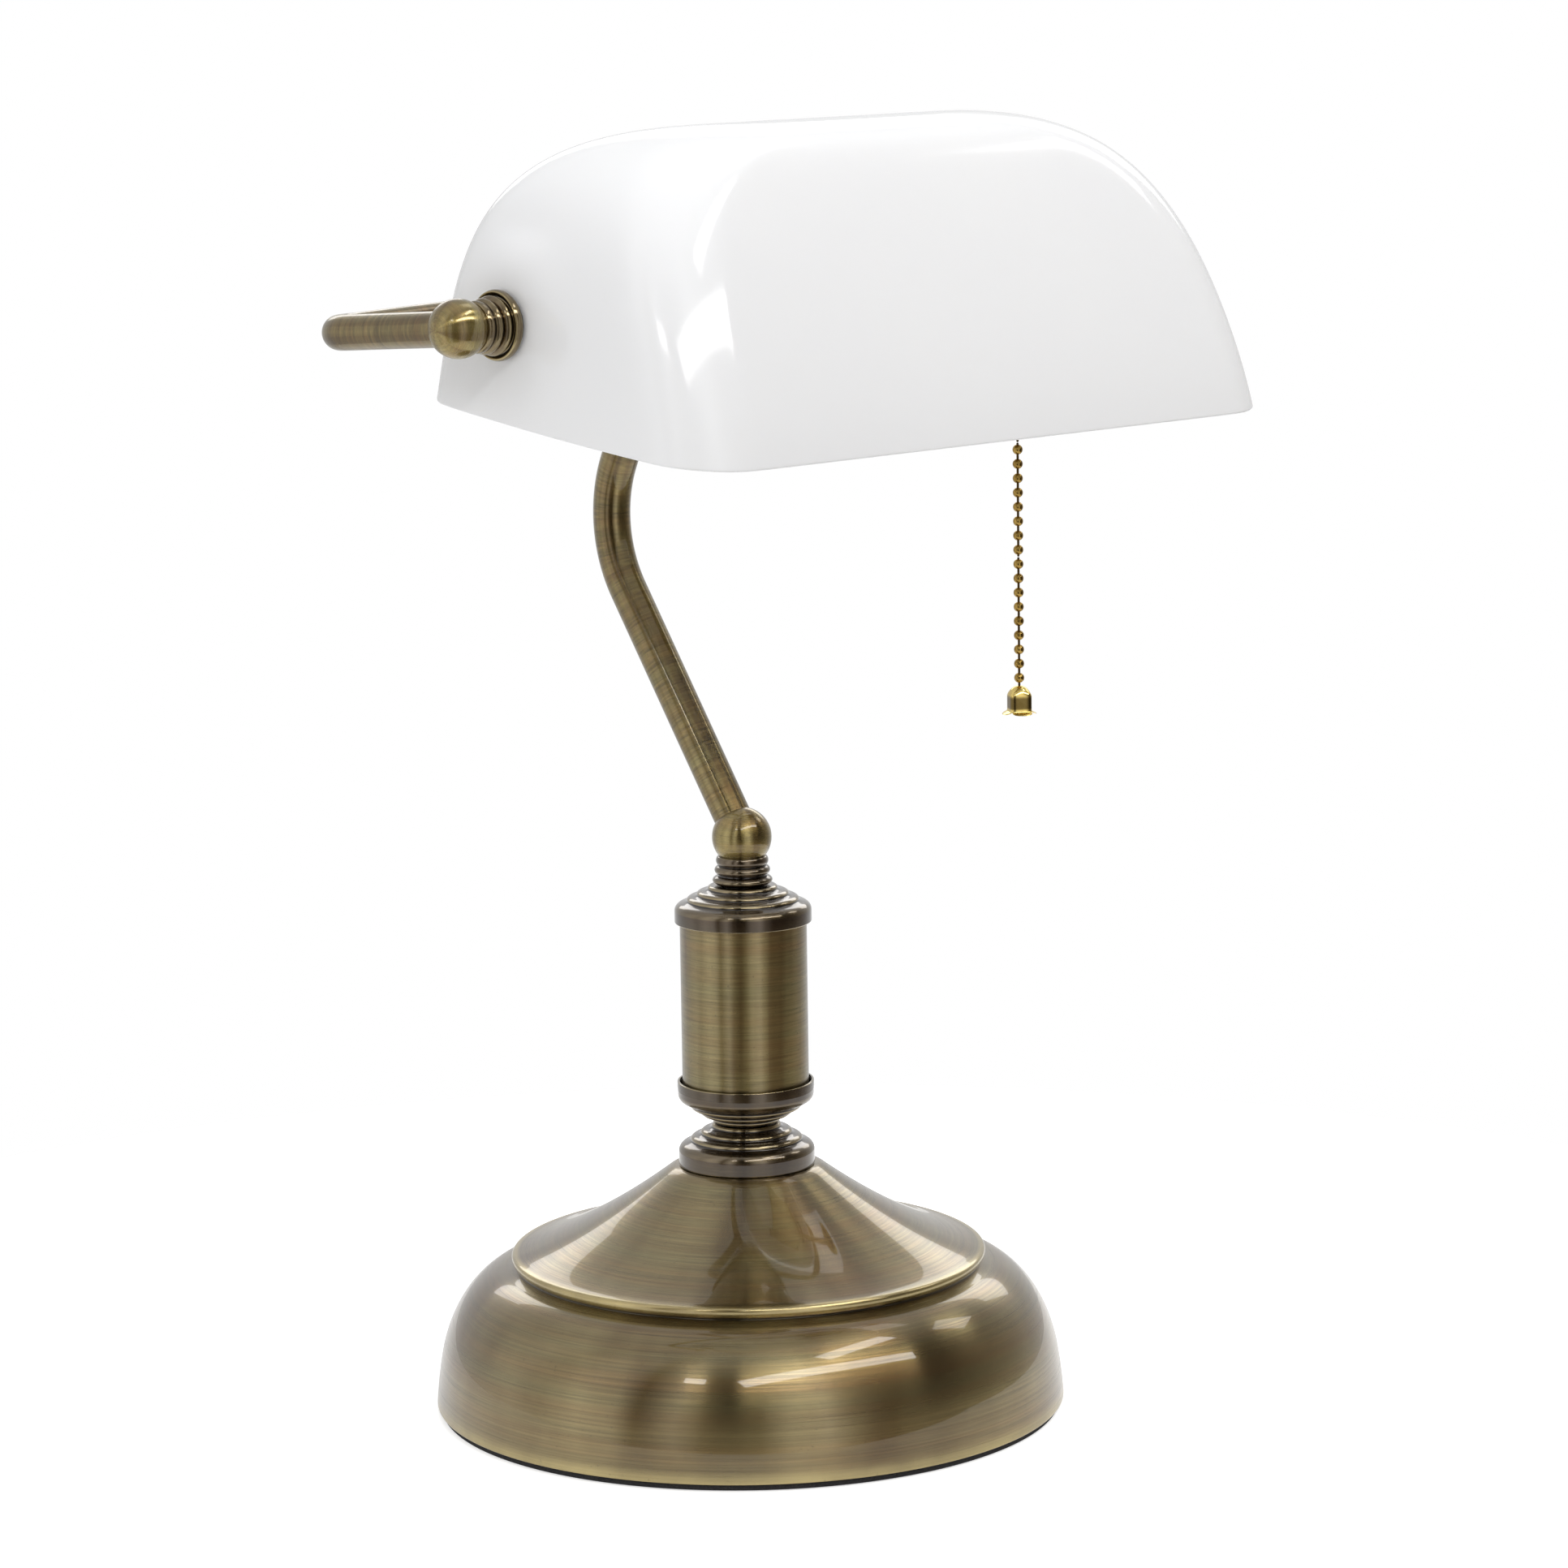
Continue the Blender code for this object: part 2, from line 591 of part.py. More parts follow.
def close_top(work, top):
    """Strips across the flat ridge, from one half of the ring to its mirror image."""
    count = len(top)
    last = count // 2
    work.faces.new(top[:4] + top[-3:])
    for i in range(3, last - 3):
        work.faces.new((top[i], top[i + 1], top[count - i - 1], top[count - i]))
    work.faces.new(top[last - 3:last + 4])


def shade_solid():
    """Blown shade lofted by hand through unlike sections: outer face, inner face and the rim between them."""
    mesh = bpy.data.meshes.new("glass_shade")
    work = bmesh.new()
    outer = shade_rings(work, 0.0)
    inner = shade_rings(work, SHADE_WALL)
    for rings in (outer, inner):
        for lower, upper in zip(rings, rings[1:]):
            bridge(work, lower, upper)
        close_top(work, rings[-1])
    bridge(work, outer[0], inner[0])
    bmesh.ops.recalc_face_normals(work, faces=work.faces)
    work.to_mesh(mesh)
    work.free()
    return mesh


def build_shade():
    pivot = make_empty("shade_pivot", (0, PIVOT_Y, PIVOT_Z))
    tilt = Matrix.Rotation(SHADE_TILT, 4, "X")
    shade = bpy.data.objects.new("glass_shade", shade_solid())
    place(shade, "opal_glass", (0, PIVOT_Y, PIVOT_Z), tilt)
    smooth(shade, 50)
    for side, sign in (("left", -1), ("right", 1)):
        cut(shade, cylinder_cutter(side + "_shade_hole", (sign * 95, PIVOT_Y, PIVOT_Z),
                                   (sign * 120, PIVOT_Y, PIVOT_Z), SHADE_HOLE))
    hang_on(pivot, shade)
    return pivot


def build_pivots(pivot):
    """On each side: collar, flange, nipple, a washer on each face of the glass, and a nut inside."""
    bore = NIPPLE_RADIUS + GAP
    inside = SHADE_SEAT - SHADE_WALL
    for side, turn, sign in (("left", ALONG_MINUS_X, -1), ("right", ALONG_X, 1)):
        axis = (0, PIVOT_Y, PIVOT_Z)
        turned(side + "_collar", collar_profile(END_SCALE, bore, 6.3), "antique_brass", 14,
               (sign * YOKE_HALF, PIVOT_Y, PIVOT_Z), turn, ring=True)
        turned(side + "_flange", [(FLANGE_RADIUS - 0.6, FLANGE_OUTER), (FLANGE_RADIUS, FLANGE_OUTER - 0.5),
                                  (FLANGE_RADIUS, FLANGE_INNER), (bore, FLANGE_INNER), (bore, FLANGE_OUTER)],
               "antique_brass", 18, axis, turn, ring=True)
        inner_end = 99.4 if side == "left" else 94.6
        nipple = sleeve(NIPPLE_RADIUS, NIPPLE_BORE, inner_end, YOKE_HALF - 2.0)
        turned(side + "_nipple", nipple, "zinc_steel", 16,
               axis, turn, ring=True)
        outer_washer = turned(side + "_outer_washer", sleeve(8.2, bore, SHADE_SEAT + GAP, FLANGE_INNER - GAP),
                              "black_rubber", 20, axis, turn, ring=True)
        inner_washer = turned(side + "_inner_washer", sleeve(8.2, bore, inside - 1.5, inside - GAP - 0.1),
                              "black_rubber", 20, axis, turn, ring=True)
        hex_nut(side + "_lock_nut", 7.6, inside - 4.8, inside - 1.8, bore, axis, turn)
        hang_on(pivot, outer_washer, inner_washer)


# --- lampholder and bulb ----------------------------------------------------------------------------------
def build_lampholder():
    axis = (0, PIVOT_Y, PIVOT_Z)
    chain_hole = cylinder_cutter("chain_hole", (CHAIN_X, PIVOT_Y, PIVOT_Z - 30),
                                 (CHAIN_X, PIVOT_Y, PIVOT_Z - 8),
                                 2.9 + GAP, 16)
    bore = NIPPLE_RADIUS + GAP
    turned_shell("socket_cap", [(6.4, HOLDER_CAP_NECK), (6.4, 97.4), (9.6, 96.6), (13.6, 94.4), (16.2, 91.4),
                                (17.1, 90.4), (17.1, HOLDER_CAP_SKIRT)], 0.6, "polished_brass", 16, axis,
                 ALONG_X)
    turned("socket_bushing", sleeve(5.5, bore, 94.8, HOLDER_CAP_NECK), "zinc_steel", 16, axis, ALONG_X,
           ring=True)
    shell = turned("socket_shell", [(HOLDER_RADIUS, HOLDER_BACK), (HOLDER_RADIUS, HOLDER_MOUTH + 1.5),
                                    (HOLDER_RADIUS + 0.8, HOLDER_MOUTH + 0.6),
                                    (HOLDER_RADIUS + 0.4, HOLDER_MOUTH),
                                    (HOLDER_RADIUS - 0.5, HOLDER_MOUTH + 0.6),
                                    (HOLDER_RADIUS - 0.5, HOLDER_BACK)],
                   "polished_brass", 24, axis, ALONG_X, ring=True)
    cut(shell, chain_hole)
    liner = turned("insulating_liner", sleeve(15.3, 14.8, 46.0, 89.6), "card_liner", 24, axis, ALONG_X,
                   ring=True)
    cut(liner, chain_hole)
    block = turned("switch_block", [(0.0, BLOCK_BACK), (BLOCK_RADIUS, BLOCK_BACK),
                                    (BLOCK_RADIUS, BLOCK_FRONT),
                                    (0.0, BLOCK_FRONT)], "phenolic", 24, axis, ALONG_X)
    cut(block, box_cutter("lever_slot", (CHAIN_X - 2.2, PIVOT_Y - 5, PIVOT_Z - 20),
                          (CHAIN_X + 2.2, PIVOT_Y + 12.8, PIVOT_Z + 7.5)))
    cut(block, cylinder_cutter("pin_hole", (CHAIN_X - 4, LEVER_PIN_Y, LEVER_PIN_Z),
                               (CHAIN_X + 4, LEVER_PIN_Y, LEVER_PIN_Z), 1.0 + GAP, 12))
    cut(block, cylinder_cutter("mouth_clearance", (CHAIN_X, PIVOT_Y, PIVOT_Z - 30),
                               (CHAIN_X, PIVOT_Y, PIVOT_Z - 12.5), 2.9 + GAP, 16))
    turned("screw_shell", sleeve(SCREW_RADIUS, SCREW_RADIUS - 0.4, 46.5, BLOCK_FRONT - GAP), "aluminium", 24,
           axis, ALONG_X, ring=True)
    turned("centre_contact", [(0.0, BLOCK_FRONT - GAP), (3.2, BLOCK_FRONT - GAP), (3.2, 70.9), (2.0, 70.3),
                              (0.0, 70.3)], "polished_brass", 16, axis, ALONG_X)
    turned("chain_outlet", [(2.9, OUTLET_TOP), (2.9, 290.6), (4.3, 287.6), (4.3, OUTLET_BOTTOM),
                            (3.4, OUTLET_BOTTOM), (2.1, 290.2), (2.1, OUTLET_TOP)], "polished_brass", 16,
           (CHAIN_X, PIVOT_Y, 0), ring=True)


def build_bulb():
    axis = (0, PIVOT_Y, PIVOT_Z)
    turned("bulb_base", [(0.0, 69.9), (3.0, 69.7), (4.6, 68.6), (9.0, 67.6), (13.0, 65.4), (13.0, 47.6),
                         (12.5, 47.6), (12.5, 64.8), (0.0, 66.2)], "aluminium", 20, axis, ALONG_X)
    end = BULB_END
    outer = [(12.1, 60.0), (12.1, 47.0), (13.4, 38.0), (BULB_RADIUS, 30.0)]
    outer += [(BULB_RADIUS * math.cos(a), end + BULB_RADIUS * (1 - math.sin(a))) for a in arc(6, 0, 90)]
    outer[-1] = (0.0, end)
    turned_shell("bulb_glass", outer, 0.8, "bulb_glass", 14, axis, ALONG_X)


# --- pull chain -------------------------------------------------------------------------------------------
def bead_profile(heights, top, bottom):
    """Beads on a thin wire from top to bottom; heights are the bead centres, highest first."""
    profile = [(0.0, top), (LINK_RADIUS, top)]
    waist = math.asin(LINK_RADIUS / BEAD_RADIUS)
    for height in heights:
        for i in range(4):
            angle = waist + (math.pi - 2 * waist) * i / 3
            profile.append((BEAD_RADIUS * math.sin(angle), height + BEAD_RADIUS * math.cos(angle)))
    return profile + [(LINK_RADIUS, bottom), (0.0, bottom)]


def bead_heights(top, bottom):
    count = int((top - LOWEST_BEAD) / BEAD_PITCH) + 1
    heights = [LOWEST_BEAD + i * BEAD_PITCH for i in range(count)]
    return [h for h in reversed(heights) if bottom < h < top]


def chain_piece(name, heights, top, bottom):
    """A run of chain whose origin is its upper end, on the joint that it hangs from."""
    profile = [(radius, height - top) for radius, height in bead_profile(heights, top, bottom)]
    return turned(name, profile, "polished_brass", 6, (CHAIN_X, PIVOT_Y, top))


def build_chain():
    first, second, third, fourth = CHAIN_HINGES
    inside = [STOP_BEAD] + bead_heights(310.0, first)
    chain_piece("chain_lead", inside, STOP_BEAD + 1.6, first + 0.15)
    chain_piece("chain_upper", bead_heights(first, second), first - 0.15, second + 0.15)
    chain_piece("chain_middle", bead_heights(second, third), second - 0.15, third + 0.15)
    chain_piece("chain_lower", bead_heights(third, fourth), third - 0.15, fourth + 0.15)


def build_pull():
    """Small square-shouldered bell with a petal on each side."""
    height = PULL_TOP
    profile = [(0.0, height), (1.0, height), (2.6, height - 1.0), (PULL_RADIUS, height - 3.2),
               (PULL_RADIUS, height - 6.8), (5.0, height - 7.6), (5.0, height - 8.2), (3.2, height - 7.4),
               (3.0, height - 3.4), (0.0, height - 1.6)]
    shifted = [(radius, z - height) for radius, z in profile]
    turned("pull_bell", shifted, "polished_brass", 16, (CHAIN_X, PIVOT_Y, height))


def build_lever():
    """Switch lever: a hub on a pin, with a slotted arm that the chain passes through."""
    hinge = make_empty("lever_axis", (CHAIN_X, LEVER_PIN_Y, LEVER_PIN_Z))
    hub = turned("pull_lever", sleeve(2.2, 1.08, -1.7, 1.7), "zinc_steel", 16,
                 (CHAIN_X, LEVER_PIN_Y, LEVER_PIN_Z), ALONG_X, ring=True)
    turn = Matrix.Rotation(-LEVER_RISE, 4, "X")
    arm = box_cutter("lever_arm", (CHAIN_X - 1.7, LEVER_PIN_Y - 13.2, LEVER_PIN_Z - 0.4),
                     (CHAIN_X + 1.7, LEVER_PIN_Y - 1.5, LEVER_PIN_Z + 0.4))
    slot = box_cutter("lever_arm_slot", (CHAIN_X - 0.8, LEVER_PIN_Y - 11.8, LEVER_PIN_Z - 2),
                      (CHAIN_X + 0.8, LEVER_PIN_Y - 8.6, LEVER_PIN_Z + 2))
    about = Matrix.Translation(point(CHAIN_X, LEVER_PIN_Y, LEVER_PIN_Z))
    for tool in (arm, slot):
        tool.matrix_world = about @ turn @ about.inverted() @ tool.matrix_world
    join = hub.modifiers.new("Arm", "BOOLEAN")
    join.operation = "UNION"
    join.solver = "EXACT"
    join.object = arm
    cut(hub, slot)
    hang_on(hinge, hub)
    turned("lever_pin", [(0.0, 3.6), (1.0, 3.6), (1.0, -3.6), (0.0, -3.6)], "zinc_steel", 12,
           (CHAIN_X, LEVER_PIN_Y, LEVER_PIN_Z), ALONG_X)


clear_scene()
LAMP = make_collection("banker_desk_lamp")
CUTTERS = make_collection("cutters")
MATERIALS = {name: make_material(name) for name in COLOURS}
build_base()
build_column()
build_yoke(build_stem())
build_pivots(build_shade())
build_lampholder()
build_bulb()
build_chain()
build_pull()
build_lever()
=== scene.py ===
"""Looks of the banker's desk lamp.

Smooth visible pieces, their finishes, the studio light and the camera, built around the CAD frame.
"""
import json
import math

import bmesh
import bpy
import numpy as np
from mathutils import Matrix, Vector


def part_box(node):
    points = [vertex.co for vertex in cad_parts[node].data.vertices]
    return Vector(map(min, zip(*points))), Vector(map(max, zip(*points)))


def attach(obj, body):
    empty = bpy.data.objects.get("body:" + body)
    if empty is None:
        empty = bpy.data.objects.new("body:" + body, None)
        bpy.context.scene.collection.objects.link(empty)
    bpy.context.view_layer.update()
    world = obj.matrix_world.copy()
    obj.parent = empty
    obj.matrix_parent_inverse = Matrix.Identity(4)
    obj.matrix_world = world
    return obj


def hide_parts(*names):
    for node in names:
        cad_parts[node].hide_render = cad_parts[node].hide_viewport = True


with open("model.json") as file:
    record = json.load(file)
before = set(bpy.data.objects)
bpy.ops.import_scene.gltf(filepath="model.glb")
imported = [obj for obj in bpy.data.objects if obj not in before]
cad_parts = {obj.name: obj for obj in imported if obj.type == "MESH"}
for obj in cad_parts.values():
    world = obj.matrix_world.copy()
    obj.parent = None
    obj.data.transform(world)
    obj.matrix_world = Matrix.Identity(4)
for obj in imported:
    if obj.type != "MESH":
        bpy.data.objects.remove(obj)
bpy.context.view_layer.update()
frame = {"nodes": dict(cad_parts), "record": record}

MM = 0.001
STAND = "stand"
SHADE = "shade"


def joint_place(name):
    """A joint's position in the record, in metres."""
    for joint in frame["record"]["behaviour"]["joints"]:
        if joint["name"] == name:
            return Vector(joint["pos_m"])
    raise ValueError(name)


PIVOT = joint_place("shade_tilt")
CHAIN = joint_place("chain_pull")


def new_object(name, data):
    """New object in the scene."""
    item = bpy.data.objects.new(name, data)
    bpy.context.scene.collection.objects.link(item)
    return item


# --- camera ---
VIEW_PLACE = (-1.00272, -1.04678, 0.42174)
VIEW_RIGHT = Vector((0.71639, -0.69770, 0.0))
VIEW_UP = Vector((0.11611, 0.11922, 0.98605))
VIEW_ROLL = math.radians(0.85)
SENSOR_WIDTH, FOCAL_LENGTH = 36.0, 121.1  # millimetres
CLIP_NEAR, CLIP_FAR = 0.05, 50.0          # metres


def build_camera():
    """Front left of the lamp, a little above the shade, long lens, rolled by under a degree."""
    across = VIEW_RIGHT * math.cos(VIEW_ROLL) - VIEW_UP * math.sin(VIEW_ROLL)
    upward = VIEW_RIGHT * math.sin(VIEW_ROLL) + VIEW_UP * math.cos(VIEW_ROLL)
    back = across.cross(upward)
    data = bpy.data.cameras.new("view")
    data.sensor_width = SENSOR_WIDTH
    data.lens = FOCAL_LENGTH
    data.clip_start = CLIP_NEAR
    data.clip_end = CLIP_FAR
    camera = new_object("view", data)
    turn = Matrix((across, upward, back)).transposed().to_4x4()
    camera.matrix_world = Matrix.Translation(VIEW_PLACE) @ turn
    bpy.context.scene.camera = camera


# --- light and floor ---
TARGET = Vector((0.0, 0.0, 0.18))  # the lights face this point, half way up the lamp
FRONT_AZIMUTH = math.atan2(VIEW_PLACE[1], VIEW_PLACE[0])

# Area lights: name, azimuth and elevation in degrees, distance, width, height in metres, and watts.
SOFTBOXES = (
    ("front_window", 37.0, 44.0, 1.6, 2.0, 0.22, 9.8),
    ("side_window", 72.0, 60.0, 1.6, 0.9, 0.20, 3.8),
    ("far_lamp", -24.0, 37.0, 1.7, 0.22, 0.14, 0.7),
    ("rear_lamp", 142.0, 64.0, 1.6, 0.4, 0.7, 1.0),
    ("back_window", 176.0, 24.0, 2.0, 2.2, 0.5, 6.0),
    ("right_window", 120.0, 38.0, 1.6, 0.35, 0.35, 1.0),
)


def toward(azimuth, elevation):
    """Unit vector from the lamp; azimuth 0 points at the camera and grows to the camera's right."""
    angle = FRONT_AZIMUTH + math.radians(azimuth)
    rise = math.radians(elevation)
    level = math.cos(rise)
    return Vector((level * math.cos(angle), level * math.sin(angle), math.sin(rise)))


def softbox(name, azimuth, elevation, distance, width, height, power):
    """White rectangular area light that faces the lamp and doesn't show in the picture."""
    data = bpy.data.lights.new(name, "AREA")
    data.shape = "RECTANGLE"
    data.size = width
    data.size_y = height
    data.energy = power
    light = new_object(name, data)
    place = TARGET + toward(azimuth, elevation) * distance
    turn = (TARGET - place).to_track_quat("-Z", "Y").to_matrix().to_4x4()
    light.matrix_world = Matrix.Translation(place) @ turn
    light.visible_camera = False


def feed(node, values):
    """Sets inputs by name or number, or links them where the value is another node's output."""
    for key, value in values.items():
        if isinstance(value, bpy.types.NodeSocket):
            node.id_data.links.new(value, node.inputs[key])
        else:
            node.inputs[key].default_value = value


def add_math(tree, operation, *values):
    node = tree.nodes.new("ShaderNodeMath")
    node.operation = operation
    feed(node, dict(enumerate(values)))
    return node.outputs["Value"]


def add_vector_math(tree, operation, *values):
    node = tree.nodes.new("ShaderNodeVectorMath")
    node.operation = operation
    feed(node, dict(enumerate(values)))
    return node.outputs


# Brightness of the room round the lamp, at low height: (azimuth from the camera, level).
ROOM = ((-180, 0.70), (-150, 0.60), (-120, 0.68), (-98, 0.88), (-84, 0.74), (-66, 1.15),
        (-52, 0.95), (-43, 0.24), (-28, 0.96), (-17, 0.20), (-8, 0.04), (3, 0.06), (14, 0.72),
        (28, 1.12), (38, 0.40), (52, 0.10), (72, 0.08), (92, 0.12), (112, 0.30), (140, 0.55),
        (180, 0.70))
CEILING = 0.82
CEILING_EDGE = (0.70, 0.97)        # sine of the elevation where walls turn into ceiling
WARM_LEVELS = (0.10, 0.60)         # below the first a wall is fully warm, above the second neutral
WARM_GREEN, WARM_BLUE = 0.14, 0.30  # share of green and blue that a fully warm wall loses
WHITE = (1.0, 1.0, 1.0, 1.0)


def room_colour(level):
    """Dark parts of the room are warm, bright ones neutral."""
    warm = falloff(level, *WARM_LEVELS)
    return (level, level * (1 - WARM_GREEN * warm), level * (1 - WARM_BLUE * warm))


def build_light():
    """Room seen in reflections, white backdrop seen by the camera, and the softboxes."""
    world = bpy.data.worlds.new("studio")
    bpy.context.scene.world = world
    world.use_nodes = True
    tree = world.node_tree
    nodes = tree.nodes
    nodes.clear()
    output = nodes.new("ShaderNodeOutputWorld")
    direction = nodes.new("ShaderNodeTexCoord").outputs["Generated"]
    ahead, aside, height = [
        add_vector_math(tree, "DOT_PRODUCT", direction, axis)["Value"]
        for axis in (toward(0.0, 0.0), toward(90.0, 0.0), (0.0, 0.0, 1.0))]
    azimuth = add_math(tree, "ARCTAN2", aside, ahead)
    turn = add_range(tree, azimuth, -math.pi, math.pi, 0.0, 1.0)
    walls = add_ramp(tree, turn, [((a + 180) / 360, room_colour(v)) for a, v in ROOM])
    overhead = add_range(tree, height, *CEILING_EDGE, 0.0, 1.0)
    colour = add_mix(tree, overhead, walls, (CEILING, CEILING, CEILING))
    room = nodes.new("ShaderNodeBackground")
    feed(room, {"Color": colour})
    backdrop = nodes.new("ShaderNodeBackground")
    feed(backdrop, {"Color": WHITE})
    rays = nodes.new("ShaderNodeLightPath")
    mix = nodes.new("ShaderNodeMixShader")
    feed(mix, {"Fac": rays.outputs["Is Camera Ray"], 1: room.outputs["Background"],
               2: backdrop.outputs["Background"]})
    feed(output, {"Surface": mix.outputs["Shader"]})
    for box in SOFTBOXES:
        softbox(*box)
    bpy.context.scene.view_settings.view_transform = "Standard"


FLOOR_RADIUS, FLOOR_DROP = 0.4, 0.0002
FLOOR_GLOW = (0.09, 0.32, 0.40, 0.92)  # two distances in metres, and the glow at each
FLOOR_FILL = 0.20                      # glow that also lights the lamp from below


def build_floor():
    """Round pale table top that grows brighter outward, so that it runs into the backdrop."""
    work = bmesh.new()
    bmesh.ops.create_circle(work, cap_ends=True, radius=FLOOR_RADIUS, segments=128)
    floor = from_bmesh(work, "floor")
    floor.location.z = -FLOOR_DROP
    material, tree, shader = new_material("floor_white")
    grain = add_noise(tree, object_coordinates(tree), 9.0, 2.0, 0.5)
    tone = add_ramp(tree, grain, ((0.3, (0.80, 0.80, 0.80)), (0.7, (0.84, 0.84, 0.84))))
    distance = add_vector_math(tree, "LENGTH", object_coordinates(tree))["Value"]
    glow = add_range(tree, distance, *FLOOR_GLOW)
    seen = tree.nodes.new("ShaderNodeLightPath").outputs["Is Camera Ray"]
    glow = add_math(tree, "ADD", add_math(tree, "MULTIPLY", glow, seen), FLOOR_FILL)
    feed(shader, {"Base Color": tone, "Roughness": 0.75, "Emission Color": WHITE,
                  "Emission Strength": glow})
    floor.data.materials.append(material)


# --- materials ---
def new_material(name):
    material = bpy.data.materials.new(name)
    material.use_nodes = True
    tree = material.node_tree
    return material, tree, tree.nodes["Principled BSDF"]


def add_noise(tree, vector, scale, detail, roughness):
    noise = tree.nodes.new("ShaderNodeTexNoise")
    feed(noise, {"Scale": scale, "Detail": detail, "Roughness": roughness, "Vector": vector})
    return noise.outputs["Fac"]


def add_attribute(tree, name):
    node = tree.nodes.new("ShaderNodeAttribute")
    node.attribute_name = name
    return node


def add_ramp(tree, factor, stops):
    """Colour ramp from (position, colour) stops."""
    ramp = tree.nodes.new("ShaderNodeValToRGB")
    elements = ramp.color_ramp.elements
    while len(elements) < len(stops):
        elements.new(0.5)
    for element, (place, colour) in zip(elements, stops):
        element.position = place
        element.color = (*colour, 1.0)
    tree.links.new(factor, ramp.inputs["Fac"])
    return ramp.outputs["Color"]


def add_range(tree, value, low, high, to_low, to_high):
    """Value mapped from low..high to to_low..to_high, and clamped there."""
    node = tree.nodes.new("ShaderNodeMapRange")
    feed(node, {"From Min": low, "From Max": high, "To Min": to_low, "To Max": to_high,
                "Value": value})
    return node.outputs["Result"]


def add_mix(tree, factor, first, second, blend="MIX"):
    """Mixes two colours; each value may be plain or another node's output."""
    node = tree.nodes.new("ShaderNodeMix")
    node.data_type = "RGBA"
    node.blend_type = blend
    first, second = [(*c, 1.0) if isinstance(c, tuple) else c for c in (first, second)]
    feed(node, {0: factor, 6: first, 7: second})
    return node.outputs[2]


def add_bump(tree, shader, height, strength, distance):
    bump = tree.nodes.new("ShaderNodeBump")
    feed(bump, {"Strength": strength, "Distance": distance, "Height": height})
    feed(shader, {"Normal": bump.outputs["Normal"]})


def object_coordinates(tree):
    return tree.nodes.new("ShaderNodeTexCoord").outputs["Object"]


BRUSH_LINES, BRUSH_BANDS = 1.0, 0.13  # noise scales in brush coordinates
LENGTHWISE_STRETCH = (2.6, 2.6, 0.006)     # brush coordinates drawn out into darker and lighter streaks along the piece
CLOUD_SCALE, SPECK_SCALE = 45.0, 900.0
SCRATCH_DEPTH = 3.2    # a scratch darkens this many times as much as a brush line
PATINA_AND_SHADE_SHARE = 0.12    # colour left at the bottom of a groove: dark patina and painted shade
SPECK_SHARE = 0.3      # and in a speck of patina
SPREAD = 0.05          # roughness varies by this much either way
BRUSHED = 0.95         # anisotropy
LACQUER_ROUGHNESS, LACQUER_IOR = 0.035, 1.6
FINE_BUMP = (0.10, 0.0001)  # strength and depth in metres


def multiplied(tree, colour, factor, stops):
    """Colour times a ramp over factor."""
    return add_mix(tree, 1.0, colour, add_ramp(tree, factor, stops), "MULTIPLY")


def brass(name, base, edge, roughness, lacquer=0.7, fine=0.2):
    """Antique brass, brushed round the piece: dark patina and painted shade in grooves, bright
    edges from rubbing, lacquer on top.
    """
    material, tree, shader = new_material(name)
    brush = add_attribute(tree, "brush").outputs["Vector"]
    lines = add_noise(tree, brush, BRUSH_LINES, 5.0, 0.75)
    bands = add_noise(tree, brush, BRUSH_BANDS, 2.0, 0.5)
    place = object_coordinates(tree)
    cloud = add_noise(tree, place, CLOUD_SCALE, 4.0, 0.6)
    dark = tuple(c * (1 - fine) for c in base)
    light = tuple(min(c * (1 + fine), 1.0) for c in base)
    scratch = tuple(c * (1 - SCRATCH_DEPTH * fine) for c in base)
    colour = add_ramp(tree, lines, ((0.22, scratch), (0.38, dark), (0.66, light)))
    colour = multiplied(tree, colour, cloud, ((0.32, (0.84, 0.80, 0.76)), (0.66, (1.0, 1.0, 1.0))))
    colour = multiplied(tree, colour, bands, ((0.36, (1.0, 0.90, 0.83)),
                                              (0.62, (0.95, 0.99, 0.95))))
    # Darker and lighter streaks that run along the piece.
    around = add_vector_math(tree, "MULTIPLY", brush, LENGTHWISE_STRETCH)["Vector"]
    lengthwise_streaks = add_noise(tree, around, 1.0, 2.0, 0.5)
    colour = multiplied(tree, colour, lengthwise_streaks, ((0.38, (0.70, 0.62, 0.56)),
                                              (0.47, (0.94, 0.92, 0.90)),
                                              (0.60, (1.12, 1.13, 1.12))))
    wear_and_shade = add_attribute(tree, "wear_and_shade").outputs["Fac"]
    surface_marks = add_math(tree, "MULTIPLY", add_range(tree, wear_and_shade, 0.10, 0.8, 0.0, 0.9),
                      add_range(tree, cloud, 0.25, 0.6, 0.5, 1.0))
    colour = add_mix(tree, surface_marks, colour, edge)
    # Dark patina and painted shade: grooves darken towards a small share of the base colour.
    shade_and_patina = add_range(tree, wear_and_shade, -0.1, -0.8, 0.0, 0.85)
    colour = add_mix(tree, shade_and_patina, colour, tuple(PATINA_AND_SHADE_SHARE * c for c in base))
    specks = add_range(tree, add_noise(tree, place, SPECK_SCALE, 1.0, 0.5), 0.70, 0.78, 0.0, 0.35)
    colour = add_mix(tree, specks, colour, tuple(SPECK_SHARE * c for c in base))
    gloss = add_range(tree, lines, 0.25, 0.75, roughness + SPREAD, roughness - SPREAD)
    feed(shader, {"Base Color": colour, "Metallic": 1.0, "Roughness": gloss, "Anisotropic": BRUSHED,
                  "Tangent": add_attribute(tree, "grain").outputs["Vector"],
                  "Coat Weight": lacquer, "Coat Roughness": LACQUER_ROUGHNESS,
                  "Coat IOR": LACQUER_IOR})
    add_bump(tree, shader, lines, *FINE_BUMP)
    return material


